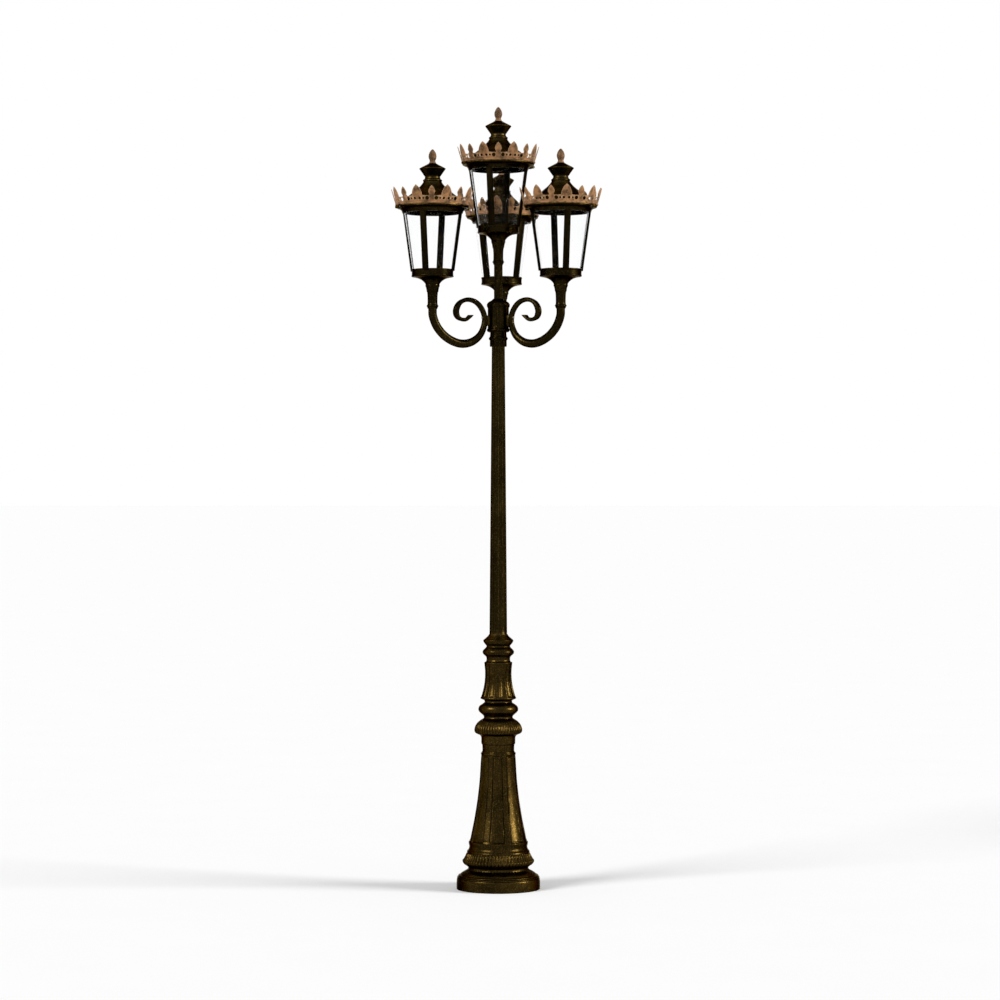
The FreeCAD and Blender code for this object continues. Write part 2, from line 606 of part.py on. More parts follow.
def hub_outside():
    """The outside of the hub: two end rings and a fluted barrel."""
    foot = turned(HUB_FOOT, HUB_FOOT_Z, HUB_HEIGHT, HUB_RADIUS, BAND_SIDES)
    barrel = skin([fluted(HUB_RADIUS * wide, HUB_FOOT_Z + HUB_HEIGHT * high, HUB_FLUTES, HUB_FLUTE_SHARE)
                   for high, wide in HUB_BARREL])
    head = turned(HUB_HEAD, HUB_FOOT_Z, HUB_HEIGHT, HUB_RADIUS, BAND_SIDES)
    return foot.fuse([barrel, head])


def arm_screw_heights():
    """The heights of the two screws that hold an arm to the hub."""
    return [ARM_SEAT_Z - ARM_SCREW_SPACING / 2, ARM_SEAT_Z + ARM_SCREW_SPACING / 2]


def arm_screw_rods(radius, start, end):
    """Rods on all the arm screws' lines, from one distance off the axis to another."""
    rods = []
    for azimuth in ARM_AZIMUTHS.values():
        for height in arm_screw_heights():
            near, far = polar(start, azimuth, height), polar(end, azimuth, height)
            rods.append(prism(radius, near, far, SMALL_SIDES))
    return rods


def hub():
    """The hub, with a socket below for the shaft, one above for the stem, and the arm screws' holes."""
    socket_floor = HUB_HEAD_Z - STEM_SPIGOT_LENGTH - SPIGOT_GAP
    stem_socket = drum(STEM_RADIUS + SPIGOT_GAP, socket_floor, HUB_HEAD_Z + OVERRUN, TUBE_SIDES, TUBE_TURN)
    cable_way = drum(ARM_SPIGOT_RADIUS, HUB_FOOT_Z, HUB_HEAD_Z, SMALL_SIDES)
    screw_start = HUB_RADIUS - ARM_SCREW_BITE - OVERRUN
    holes = arm_screw_rods(ARM_SCREW_RADIUS, screw_start, HUB_RADIUS + OVERRUN)
    return hub_outside().cut([spigot_socket(), stem_socket, cable_way] + holes)


def centre_stem():
    """The tube that carries the raised lantern, with a spigot at its head."""
    tube = drum(STEM_RADIUS, HUB_HEAD_Z - STEM_SPIGOT_LENGTH, STEM_HEAD_Z, TUBE_SIDES, TUBE_TURN)
    spigot = drum(ARM_SPIGOT_RADIUS, STEM_HEAD_Z, STEM_HEAD_Z + ARM_SPIGOT_LENGTH, SMALL_SIDES,
                  CENTRE_LANTERN_AZIMUTH)
    return tube.fuse(spigot)


def arm_centreline():
    """The arm's centreline in its own upright plane, as a smooth curve through its chosen points."""
    points = []
    for out, up in ARM_PATH:
        reach = HUB_RADIUS + out * (ARM_REACH - HUB_RADIUS)
        points.append(FreeCAD.Vector(reach, 0, ARM_FOOT_Z + up * ARM_HEIGHT))
    curve = Part.BSplineCurve()
    curve.interpolate(points)
    return curve


def blend(value, start, end, low, high):
    """A value that runs smoothly from low to high while its input runs from start to end."""
    share = min(max((value - start) / (end - start), 0.0), 1.0)
    return low + (high - low) * share * share * (3.0 - 2.0 * share)


def arm_section(share):
    """The half depth in the arm's plane and the half width across it, along the arm."""
    width = blend(share, ARM_TUBE_END, ARM_WIDTH_END, ARM_TUBE_RADIUS, ARM_BAR_HALF_WIDTH)
    if share < ARM_BAR_END:
        return blend(share, ARM_TUBE_END, ARM_BAR_END, ARM_TUBE_RADIUS, ARM_BAR_HALF_DEPTH), width
    if share < ARM_BUD_START:
        return blend(share, ARM_BAR_END, ARM_CURL_START, ARM_BAR_HALF_DEPTH, ARM_CURL_HALF_DEPTH), width
    return blend(share, ARM_BUD_START, ARM_BUD_FULL, ARM_CURL_HALF_DEPTH, ARM_BUD_HALF_DEPTH), width


def nearest_to_hub(curve):
    """How near the bar's centreline comes to the post's axis, where it runs past the hub."""
    start, end = curve.FirstParameter, curve.LastParameter
    steps = 20 * ARM_STATIONS
    shares = [step / steps for step in range(steps) if ARM_TUBE_END < step / steps < ARM_CURL_START]
    return min(curve.value(start + (end - start) * share).x for share in shares)


def arm_template(hub_envelope):
    """One scroll arm along +X: its bar, its bud, its pad on the hub and its lantern spigot."""
    curve = arm_centreline()
    start, end = curve.FirstParameter, curve.LastParameter
    rings = []
    for station in range(ARM_STATIONS + 1):
        share = station / ARM_STATIONS
        parameter = start + (end - start) * share
        centre = curve.value(parameter)
        tangent = curve.tangent(parameter)[0]
        inward = FreeCAD.Vector(tangent.z, 0, -tangent.x)
        depth, width = arm_section(share)
        ring = []
        for corner in range(BAR_SIDES):
            angle = math.radians(360.0 * (corner + 0.5) / BAR_SIDES)
            across = FreeCAD.Vector(0, width * math.sin(angle), 0)
            ring.append(centre + inward * (depth * math.cos(angle)) + across)
        rings.append(ring)
    above_head = block((ARM_REACH - 2 * ARM_TUBE_RADIUS, -ARM_REACH, ARM_HEAD_Z),
                       (ARM_REACH + 2 * ARM_TUBE_RADIUS, ARM_REACH, LANTERN_Z))
    bar = skin(rings).cut(above_head)
    seat = nearest_to_hub(curve)
    pad = block((HUB_RADIUS - ARM_PAD_LAP, -ARM_PAD_WIDTH / 2, ARM_SEAT_Z - ARM_PAD_HEIGHT / 2),
                (seat, ARM_PAD_WIDTH / 2, ARM_SEAT_Z + ARM_PAD_HEIGHT / 2))
    spigot = drum(ARM_SPIGOT_RADIUS, ARM_HEAD_Z - ARM_SPIGOT_LAP, ARM_HEAD_Z + ARM_SPIGOT_LENGTH, SMALL_SIDES)
    spigot.translate(FreeCAD.Vector(ARM_REACH, 0, 0))
    arm = bar.fuse([pad, spigot]).cut(hub_envelope)
    head_seat = seat + ARM_SCREW_SEAT_SHARE * ARM_BAR_HALF_DEPTH
    holes = []
    seats = []
    for height in arm_screw_heights():
        holes.append(prism(ARM_SCREW_RADIUS + SCREW_GAP, FreeCAD.Vector(0, 0, height),
                           FreeCAD.Vector(seat + 2 * ARM_BAR_HALF_DEPTH, 0, height), SMALL_SIDES))
        seats.append(prism(ARM_SCREW_HEAD_RADIUS + ARM_SCREW_HEAD_GAP, FreeCAD.Vector(head_seat, 0, height),
                           FreeCAD.Vector(seat + 3 * ARM_BAR_HALF_DEPTH, 0, height), SMALL_SIDES))
    return arm.cut(holes + seats), head_seat


def arms_and_screws():
    """The three arms and the group of screws that hold them."""
    template, seat = arm_template(hub_outside())
    pieces = {}
    screws = []
    for name, azimuth in ARM_AZIMUTHS.items():
        pieces["arm_" + name] = spun(template, azimuth)
        for height in arm_screw_heights():
            tip = FreeCAD.Vector(HUB_RADIUS - ARM_SCREW_BITE, 0, height)
            under_head = FreeCAD.Vector(seat, 0, height)
            head_end = FreeCAD.Vector(seat + ARM_SCREW_HEAD_HEIGHT, 0, height)
            screw = prism(ARM_SCREW_RADIUS, tip, under_head, SMALL_SIDES)
            screw = screw.fuse(prism(ARM_SCREW_HEAD_RADIUS, under_head, head_end, HEAD_SIDES))
            screws.append(spun(screw, azimuth))
    pieces["arm_screws"] = Part.makeCompound(screws)
    return pieces


# ---------------------------------------------------------------- lantern, in its own frame
def neck_and_cup():
    """The lantern's neck, socketed over its spigot, and the cup that the glass stands in."""
    outline = NECK_OUTLINE + [(1.0 + CUP_HEIGHT / NECK_HEIGHT, 1.0)]
    outside = turned(outline, -NECK_HEIGHT, NECK_HEIGHT, CUP_RADIUS, BAND_SIDES)
    mouth = CUP_RADIUS - CUP_WALL
    floor = glass_radius(CUP_FLOOR) + CUP_GLASS_GAP
    recess = skin([regular(floor, CUP_FLOOR, BAND_SIDES), regular(mouth, CUP_HEIGHT, BAND_SIDES),
                   regular(mouth, CUP_HEIGHT + OVERRUN, BAND_SIDES)])
    socket = drum(ARM_SPIGOT_RADIUS + SPIGOT_GAP, -NECK_HEIGHT - OVERRUN,
                  ARM_SPIGOT_LENGTH + SPIGOT_GAP - NECK_HEIGHT, SMALL_SIDES)
    return outside.cut([recess, socket])


def upright_radius(height):
    """The uprights' outer radius at a height."""
    slope = (UPRIGHT_HEAD_RADIUS - UPRIGHT_FOOT_RADIUS) / UPRIGHT_HEIGHT
    return UPRIGHT_FOOT_RADIUS + slope * (height - CUP_HEIGHT)


def glass_radius(height):
    """The glass sleeve's outer radius at a height."""
    return upright_radius(height) - UPRIGHT_THICKNESS - GLASS_GAP


def uprights(cup):
    """The four slanted uprights, each lapped over the cup's wall at its foot."""
    rings = []
    for height in (CUP_HEIGHT - UPRIGHT_LAP, RING_FOOT_Z):
        outer = upright_radius(height)
        inner = outer - UPRIGHT_THICKNESS
        half = UPRIGHT_WIDTH / 2
        rings.append([FreeCAD.Vector(inner, -half, height), FreeCAD.Vector(outer, -half, height),
                      FreeCAD.Vector(outer, half, height), FreeCAD.Vector(inner, half, height)])
    bar = skin(rings)
    bars = around(bar, UPRIGHT_COUNT, 180.0 / UPRIGHT_COUNT)
    return Part.makeCompound([each.cut(cup) for each in bars])


def glass():
    """The clear conical glass sleeve."""
    foot = CUP_FLOOR
    head = RING_FOOT_Z + GLASS_REBATE
    outside = skin([regular(glass_radius(height), height, BAND_SIDES) for height in (foot, head)])
    inside = skin([regular(glass_radius(height) - GLASS_THICKNESS, height, BAND_SIDES)
                   for height in (foot - OVERRUN, head + OVERRUN)])
    return outside.cut(inside)


def hinge_rod(radius, reach):
    """A rod on the lantern's hinge line, reaching as far to each side."""
    return rod(radius, FreeCAD.Vector(HINGE_OUT, -reach, HINGE_Z),
               FreeCAD.Vector(HINGE_OUT, reach, HINGE_Z))


def hinge_bore(radius, reach):
    """A straight-sided bore on the lantern's hinge line, with its flats at the radius."""
    corner = radius / math.cos(math.pi / TUBE_SIDES)
    return prism(corner, FreeCAD.Vector(HINGE_OUT, -reach, HINGE_Z),
                 FreeCAD.Vector(HINGE_OUT, reach, HINGE_Z), TUBE_SIDES)


def knuckle_span():
    """How far from the middle the ring's knuckles start and end."""
    near = ROOF_KNUCKLE_WIDTH / 2 + KNUCKLE_SIDE_GAP
    return near, near + RING_KNUCKLE_WIDTH


def ring_band():
    """The dark band that ties the uprights, with the hinge knuckles and the closing lug."""
    outside = turned(RING_OUTLINE, RING_FOOT_Z, RING_HEIGHT, RING_RADIUS, CASTING_SIDES)
    bore = RING_BORE_RADIUS
    inside = skin([regular(bore, RING_FOOT_Z - OVERRUN, BAND_SIDES)]
                  + [regular(bore * wide, RING_FOOT_Z + RING_HEIGHT * high, BAND_SIDES)
                     for high, wide in RING_REBATE]
                  + [regular(bore * RING_REBATE[-1][1], RING_HEAD_Z + OVERRUN, BAND_SIDES)])
    near, far = knuckle_span()
    wall = RING_RADIUS * RING_LUG_ROOT_SHARE
    lugs = []
    for low, high in ((-far, -near), (near, far)):
        lugs.append(block((wall, low, HINGE_Z - KNUCKLE_RADIUS),
                          (HINGE_OUT, high, HINGE_Z + KNUCKLE_RADIUS / 2)))
        lugs.append(prism(KNUCKLE_RADIUS, FreeCAD.Vector(HINGE_OUT, low, HINGE_Z),
                          FreeCAD.Vector(HINGE_OUT, high, HINGE_Z), SMALL_SIDES))
    half = CLOSING_LUG_WIDTH / 2
    lugs.append(block((-CLOSING_OUT - CLOSING_LUG_END, -half, RING_HEAD_Z - LUG_THICKNESS),
                      (-wall, half, RING_HEAD_Z)))
    screw_hole = prism(CLOSING_SCREW_RADIUS + CLOSING_HOLE_GAP,
                       FreeCAD.Vector(-CLOSING_OUT, 0, RING_HEAD_Z - LUG_THICKNESS - OVERRUN),
                       FreeCAD.Vector(-CLOSING_OUT, 0, RING_HEAD_Z + OVERRUN), SMALL_SIDES)
    bores = hinge_bore(HINGE_PIN_RADIUS + PRESS_GAP, far + OVERRUN)
    return outside.fuse(lugs).cut([inside, bores, screw_hole])


def roof():
    """The roof: a flange that the crown stands on, a hollow bell, its hinge knuckle and its closing lug."""
    flange = drum(CROWN_RADIUS, ROOF_FOOT_Z, CROWN_FOOT_Z, CROWN_SIDES, CROWN_TURN)
    outline = [(FLANGE_THICKNESS / ROOF_HEIGHT, 1.0)] + ROOF_OUTLINE
    bell = turned(outline, ROOF_FOOT_Z, ROOF_HEIGHT, ROOF_RADIUS, BAND_SIDES)
    hollow = [regular(ROOF_RADIUS * ROOF_OUTLINE[0][1] - ROOF_WALL, ROOF_FOOT_Z - OVERRUN, BAND_SIDES)]
    for high, wide in ROOF_OUTLINE[:3]:
        hollow.append(regular(ROOF_RADIUS * wide - ROOF_WALL, ROOF_FOOT_Z + ROOF_HEIGHT * high - ROOF_WALL,
                              BAND_SIDES))
    ceiling = ROOF_RADIUS * between(ROOF_OUTLINE, ROOF_CAVITY_TOP) - ROOF_WALL
    hollow.append(regular(ceiling, ROOF_FOOT_Z + ROOF_HEIGHT * ROOF_CAVITY_TOP, BAND_SIDES))
    half = ROOF_KNUCKLE_WIDTH / 2
    hinge_end = HINGE_OUT + KNUCKLE_RADIUS
    hinge_leaf = block((ROOF_RADIUS, -half, ROOF_FOOT_Z), (hinge_end, half, CROWN_FOOT_Z))
    hinge_web = block((HINGE_OUT - KNUCKLE_RADIUS / 2, -half, HINGE_Z), (hinge_end, half, CROWN_FOOT_Z))
    knuckle = prism(KNUCKLE_RADIUS, FreeCAD.Vector(HINGE_OUT, -half, HINGE_Z),
                    FreeCAD.Vector(HINGE_OUT, half, HINGE_Z), SMALL_SIDES)
    lug_half = CLOSING_LUG_WIDTH / 2
    closing_lug = block((-CLOSING_OUT - CLOSING_LUG_END, -lug_half, ROOF_FOOT_Z),
                        (-ROOF_RADIUS, lug_half, CROWN_FOOT_Z))
    screw_hole = prism(CLOSING_SCREW_RADIUS + SCREW_GAP,
                       FreeCAD.Vector(-CLOSING_OUT, 0, ROOF_FOOT_Z - OVERRUN),
                       FreeCAD.Vector(-CLOSING_OUT, 0, CROWN_FOOT_Z + OVERRUN), SMALL_SIDES)
    solid = flange.fuse([bell, hinge_leaf, hinge_web, knuckle, closing_lug])
    pin_bore = hinge_bore(HINGE_PIN_RADIUS + RUNNING_GAP, half + OVERRUN)
    return solid.cut([skin(hollow), pin_bore, screw_hole])


def crown_gap():
    """One gap between a narrow bud and a broad leaf of the crown, as a prism pointing along +X."""
    quarter = 360.0 / CROWN_LEAVES / 4
    tip_radius = CROWN_RADIUS + CROWN_FLARE * BUD_HEIGHT
    reach = tip_radius * math.sin(math.radians(quarter)) + TIP_OVERLAP
    mid = CROWN_RADIUS * math.radians(quarter)
    outline = [
        (-reach, BUD_HEIGHT), (BUD_BULGE[0] - mid, BUD_BULGE[1]), (BUD_WAIST[0] - mid, BUD_WAIST[1]),
        (0.0, VALLEY_HEIGHT), (mid - LEAF_SHOULDER[0], LEAF_SHOULDER[1]), (reach, LEAF_HEIGHT),
        (reach, CROWN_HEIGHT + OVERRUN), (-reach, CROWN_HEIGHT + OVERRUN),
    ]
    start = CROWN_RADIUS - CROWN_CUT_DEPTH
    corners = [FreeCAD.Vector(start, across, CROWN_FOOT_Z + up) for across, up in outline]
    return face(corners).extrude(FreeCAD.Vector(2 * CROWN_CUT_DEPTH, 0, 0))


def crown_hole(radius, sides):
    """One piercing of the crown, as a prism pointing along +X."""
    corners = []
    for corner in range(sides):
        angle = math.radians(360.0 * corner / sides)
        corners.append(FreeCAD.Vector(CROWN_RADIUS - CROWN_CUT_DEPTH, radius * math.cos(angle),
                                      CROWN_FOOT_Z + CROWN_HOLE_HEIGHT + radius * math.sin(angle)))
    return face(corners).extrude(FreeCAD.Vector(2 * CROWN_CUT_DEPTH, 0, 0))


def crown():
    """The pierced crown: a flared sheet band with broad leaves, narrow buds and a row of holes."""
    sides, turn = CROWN_SIDES, CROWN_TURN
    flare = CROWN_FLARE * CROWN_HEIGHT
    outer = skin([
        regular(CROWN_RADIUS, CROWN_FOOT_Z, sides, turn),
        regular(CROWN_RADIUS + CROWN_BEAD, CROWN_FOOT_Z + CROWN_BEAD, sides, turn),
        regular(CROWN_RADIUS + flare, CROWN_FOOT_Z + CROWN_HEIGHT, sides, turn),
    ])
    inner = skin([
        regular(CROWN_RADIUS - CROWN_SHEET - CROWN_FLARE, CROWN_FOOT_Z - OVERRUN, sides, turn),
        regular(CROWN_RADIUS - CROWN_SHEET + flare + CROWN_FLARE, CROWN_FOOT_Z + CROWN_HEIGHT + OVERRUN,
                sides, turn),
    ])
    period = 360.0 / CROWN_LEAVES
    cuts = []
    for step in range(CROWN_LEAVES):
        leaf = turn + step * period
        for side in (-1, 1):
            gap = crown_gap()
            if side < 0:
                gap = gap.mirror(ORIGIN, FreeCAD.Vector(0, 1, 0))
            bud = leaf - side * period / 2
            cuts.append(spun(gap, bud + side * period / 4))
            big_hole = crown_hole(CROWN_BIG_HOLE_RADIUS, HEAD_SIDES)
            cuts.append(spun(big_hole, bud + side * CROWN_BIG_HOLE_TURN))
            small_hole = crown_hole(CROWN_SMALL_HOLE_RADIUS, PIERCING_SIDES)
            cuts.append(spun(small_hole, bud + side * CROWN_SMALL_HOLE_TURN))
    return outer.cut(inner).cut(Part.makeCompound(cuts))


def cap():
    """The vent cap above the roof's waist."""
    return turned(CAP_OUTLINE, CAP_FOOT_Z, CAP_HEIGHT, CAP_RADIUS, TUBE_SIDES)


def finial():
    """The pine-cone finial."""
    return turned(FINIAL_OUTLINE, FINIAL_FOOT_Z, FINIAL_HEIGHT, FINIAL_RADIUS, SMALL_SIDES)


def lamp():
    """The light module: a lit disc on a neck that hangs from the roof's ceiling."""
    foot = RING_HEAD_Z + LAMP_DROP
    disc = drum(LAMP_RADIUS, foot, foot + LAMP_THICKNESS, BAND_SIDES)
    ceiling = ROOF_FOOT_Z + ROOF_HEIGHT * ROOF_CAVITY_TOP
    neck = drum(LAMP_NECK_RADIUS, foot + LAMP_THICKNESS, ceiling, SMALL_SIDES)
    return disc.fuse(neck)


def closing_screw():
    """The hexagon screw that holds the roof's lug down on the ring's."""
    seat = FreeCAD.Vector(-CLOSING_OUT, 0, CROWN_FOOT_Z)
    tip = FreeCAD.Vector(-CLOSING_OUT, 0, RING_HEAD_Z - CLOSING_SCREW_BITE)
    shank = prism(CLOSING_SCREW_RADIUS, tip, seat, SMALL_SIDES)
    head_end = FreeCAD.Vector(-CLOSING_OUT, 0, CROWN_FOOT_Z + CLOSING_SCREW_HEAD_HEIGHT)
    return shank.fuse(prism(CLOSING_SCREW_HEAD_RADIUS, seat, head_end, HEAD_SIDES))


def lantern_template():
    """Every piece of one lantern, in the lantern's own frame."""
    cup = neck_and_cup()
    return {
        "cup": cup,
        "uprights": uprights(cup),
        "glass": glass(),
        "ring": ring_band(),
        "roof": roof(),
        "crown": crown(),
        "cap": cap(),
        "finial": finial(),
        "lamp": lamp(),
        "hinge_pin": hinge_rod(HINGE_PIN_RADIUS, knuckle_span()[1] + HINGE_PIN_PROUD),
        "closing_screw": closing_screw(),
    }


def lantern_places():
    """Each lantern's name, its cup's floor centre and the azimuth that its hinge faces."""
    places = {}
    for name, azimuth in ARM_AZIMUTHS.items():
        places[name] = (polar(ARM_REACH, azimuth, LANTERN_Z), azimuth)
    places["centre"] = (FreeCAD.Vector(0, 0, STEM_HEAD_Z + NECK_HEIGHT), CENTRE_LANTERN_AZIMUTH)
    return places


def all_pieces():
    """Every node of the post by name."""
    pieces = dict(base_and_door())
    pieces["fuse_unit"] = fuse_unit()
    pieces["bell_collar"] = bell_collar()
    pieces["vase_casting"] = vase_casting()
    pieces["ring_collar"] = ring_collar()
    pieces["shaft"] = shaft()
    pieces["hub_collar"] = hub_collar()
    pieces["hub"] = hub()
    pieces["centre_stem"] = centre_stem()
    pieces.update(arms_and_screws())
    template = lantern_template()
    for name, (centre, azimuth) in lantern_places().items():
        for part_name, shape in template.items():
            placed = spun(shape, azimuth)
            placed.translate(centre)
            pieces[name + "_" + part_name] = placed
    return pieces


def main():
    """Write one file per node."""
    os.makedirs("parts", exist_ok=True)
    for name, shape in all_pieces().items():
        shape.exportStep("parts/" + name + ".step")
        print(name, len(shape.Solids), "solid(s)", round(shape.Volume / 1000.0, 1), "cm3")


main()
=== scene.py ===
"""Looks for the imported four-light lamp post.

Pieces are built in millimetres, in the post's frame or in that of a lantern, whose cup's floor is at height 0
and whose hinge points along +X. Outlines are lists of (height, radius); a third number marks a corner.
"""

import logging
from collections.abc import Callable, Sequence
from dataclasses import dataclass, field
from enum import Enum
from math import atan2, ceil, cos, degrees, hypot, pi, radians, sin, sqrt, tau

import bmesh
import bpy
from mathutils import Matrix, Vector


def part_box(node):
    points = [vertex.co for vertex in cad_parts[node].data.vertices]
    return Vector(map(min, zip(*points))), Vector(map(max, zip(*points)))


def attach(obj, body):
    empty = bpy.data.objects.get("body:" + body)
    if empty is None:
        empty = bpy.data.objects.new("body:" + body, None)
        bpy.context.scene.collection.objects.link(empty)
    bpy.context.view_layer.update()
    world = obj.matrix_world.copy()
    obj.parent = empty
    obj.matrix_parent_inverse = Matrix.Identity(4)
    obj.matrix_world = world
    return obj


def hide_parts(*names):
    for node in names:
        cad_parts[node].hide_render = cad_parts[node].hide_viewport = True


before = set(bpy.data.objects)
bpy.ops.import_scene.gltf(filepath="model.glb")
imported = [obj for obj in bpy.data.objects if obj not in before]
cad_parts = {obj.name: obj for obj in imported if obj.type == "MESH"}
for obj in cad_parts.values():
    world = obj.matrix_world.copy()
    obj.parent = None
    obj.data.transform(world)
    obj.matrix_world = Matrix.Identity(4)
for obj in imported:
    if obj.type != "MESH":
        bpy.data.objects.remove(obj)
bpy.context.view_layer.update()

log = logging.getLogger("lamp_post")

MM = 0.001
SECTORS = 8
HERE = Matrix.Identity(4)
BMesh = bmesh.types.BMesh
Material = bpy.types.Material
Socket = bpy.types.NodeSocket
Point = Sequence[float]
Outline = Sequence[tuple[float, ...]]
Colour = tuple[float, float, float]
Relief = Callable[[float, float, float], float]


class Slot(Enum):
    """The record's material slots."""

    IRON = "bronzed_iron"
    ALUMINIUM = "bronzed_aluminium"
    COPPER = "aged_copper"
    GLASS = "clear_glass"
    LAMP = "lamp_white"
    STEEL = "dark_steel"
    FUSE = "fuse_grey"


@dataclass(frozen=True)
class Coat:
    """A material and the slot whose finish it stands for."""

    material: Material
    slot: Slot


# --- curves and small sums
def ramp(value: float, start: float, end: float) -> float:
    """A smooth step.

    Args:
        value: What is looked at.
        start: Where the step starts.
        end: Where it ends; it may lie below start.

    Returns:
        0 before start, 1 past end.
    """
    share = min(max((value - start) / (end - start), 0.0), 1.0)
    return share * share * (3.0 - 2.0 * share)


def across(azimuth: float, count: int, phase: float = 0.0) -> float:
    """How far an azimuth is from the middle of its share of a full turn.

    Args:
        azimuth: In degrees.
        count: How many shares make the turn.
        phase: Where a middle lies, in shares.

    Returns:
        0 at the middle, 1 at the edges.
    """
    half = 180.0 / count
    return abs((azimuth - 2 * half * phase + half) % (2 * half) - half) / half


def hollow(away: float, half: float) -> float:
    """The depth, from 0 to 1, of a round groove at a distance from its middle."""
    return sqrt(max(0.0, 1.0 - (away / half) ** 2))


def smooth(points: Outline | Sequence[Vector], spacing: float) -> list[Vector]:
    """Rounds an outline with centripetal curves through its points, between its corners.

    Args:
        points: The points.
        spacing: The longest step of the result.

    Returns:
        The finer outline.
    """
    runs = [[Vector(points[0][:2])]]
    for point in points[1:]:
        runs[-1].append(Vector(point[:2]))
        if len(point) > 2:
            runs.append([Vector(point[:2])])
    result = []
    for run in runs:
        if len(run) < 2:
            continue
        padded = [run[0] * 2 - run[1], *run, run[-1] * 2 - run[-2]]
        for index in range(len(run) - 1):
            four = padded[index:index + 4]
            steps = max(3 if len(run) > 2 else 1, ceil((four[2] - four[1]).length / spacing))
            knots = [0.0]
            for near, far in zip(four, four[1:]):
                knots.append(knots[-1] + sqrt(max((far - near).length, 1e-6)))
            for step in range(steps):
                at = knots[1] + (knots[2] - knots[1]) * (step / steps)
                row = four
                for spans in (((0, 1), (1, 2), (2, 3)), ((0, 2), (1, 3)), ((1, 2),)):
                    row = [first * ((knots[high] - at) / (knots[high] - knots[low]))
                           + second * ((at - knots[low]) / (knots[high] - knots[low]))
                           for (low, high), first, second in zip(spans, row, row[1:])]
                result.append(row[0])
        result.append(run[-1])
    return result


def spin(azimuth: float) -> Matrix:
    """A turn about the upright axis, in degrees."""
    return Matrix.Rotation(radians(azimuth), 4, "Z")


# --- meshes
def turned(outline: Outline, steps: int, spacing: float, relief: Relief | None = None) -> BMesh:
    """Spins an outline about the upright axis: one sector, copied round, as a long spin takes far longer.

    Args:
        outline: The outline.
        steps: The steps of a full turn, a multiple of the sectors.
        spacing: The longest step along the outline.
        relief: Gives the radius from the azimuth, the height and the plain radius.

    Returns:
        The mesh, with its poles and seams closed.
    """
    sector = bmesh.new()
    verts = [sector.verts.new((point[1], 0.0, point[0])) for point in smooth(outline, spacing)]
    edges = [sector.edges.new(pair) for pair in zip(verts, verts[1:]) if pair[0].co != pair[1].co]
    bmesh.ops.spin(sector, geom=verts + edges, axis=(0, 0, 1), angle=tau / SECTORS,
                   steps=steps // SECTORS, use_merge=False)
    bm = bmesh.new()
    for turn in range(SECTORS):
        copy = sector.copy()
        bmesh.ops.transform(copy, matrix=spin(360.0 / SECTORS * turn), verts=copy.verts[:])
        join(bm, copy)
    sector.free()
    close_up(bm)
    for vert in bm.verts if relief else ():
        radius = hypot(vert.co.x, vert.co.y)
        if radius > 1e-6:
            share = relief(degrees(atan2(vert.co.y, vert.co.x)) % 360.0, vert.co.z, radius) / radius
            vert.co.x *= share
            vert.co.y *= share
    return bm


def close_up(bm: BMesh) -> None:
    """Merges doubles and turns the faces outwards."""
    bmesh.ops.remove_doubles(bm, verts=bm.verts[:], dist=0.002)
    bmesh.ops.dissolve_degenerate(bm, edges=bm.edges[:], dist=0.001)
    bmesh.ops.recalc_face_normals(bm, faces=bm.faces[:])


def join(bm: BMesh, other: BMesh) -> None:
    """Adds another mesh to this one, and frees the other."""
    carrier = bpy.data.meshes.new("carrier")
    other.to_mesh(carrier)
    other.free()
    bm.from_mesh(carrier)
    bpy.data.meshes.remove(carrier)


def bar(start: Point, end: Point, radius: float, sides: int = 32, edge: float = 0.5) -> BMesh:
    """A round or many-sided bar with softened ends.

    Args:
        start: One end.
        end: The other end.
        radius: Its radius, at the corners.
        sides: How many sides it has.
        edge: The width of the bevel.

    Returns:
        The mesh.
    """
    bm = bmesh.new()
    here, there = Vector(start), Vector(end)
    turn = (there - here).to_track_quat("Z", "Y").to_matrix().to_4x4()
    bmesh.ops.create_cone(bm, cap_ends=True, segments=sides, radius1=radius, radius2=radius,
                          depth=(there - here).length, matrix=Matrix.Translation((here + there) / 2) @ turn)
    bevel(bm, [item for item in bm.edges if any(len(side.verts) > 4 for side in item.link_faces)], edge)
    return bm


def block(low: Point, high: Point, edge: float = 0.6) -> BMesh:
    """A rectangular block with softened edges.

    Args:
        low: Its lowest corner.
        high: Its highest corner.
        edge: The width of the bevel.

    Returns:
        The mesh.
    """
    bm = bmesh.new()
    size = Vector(high) - Vector(low)
    middle = (Vector(high) + Vector(low)) / 2
    bmesh.ops.create_cube(bm, size=1.0, matrix=Matrix.Translation(middle) @ Matrix.Diagonal((*size, 1.0)))
    bevel(bm, bm.edges[:], edge)
    return bm


def bevel(bm: BMesh, edges: list[bmesh.types.BMEdge], width: float) -> None:
    """Rounds edges over a width."""
    bmesh.ops.bevel(bm, geom=edges, offset=width, segments=2, profile=0.5, affect="EDGES", material=-1,
                    clamp_overlap=True)


def hexagon_bolt(seat: Vector, outward: Vector, head: tuple[float, float], shank: tuple[float, float]) -> BMesh:
    """A hexagon bolt with a washer face.

    Args:
        seat: Where its head sits.
        outward: The direction its head points in.
        head: The head's radius, at the corners, and its height.
        shank: The shank's radius and length.

    Returns:
        The mesh.
    """
    line = outward.normalized()
    bm = bar(seat + line * 0.6, seat + line * head[1], head[0], 6, 0.7)
    join(bm, bar(seat, seat + line * 0.8, head[0] * 0.97, 32, 0.1))
    join(bm, bar(seat - line * shank[1], seat + line * 0.4, shank[0], 24, 0.3))
    return bm


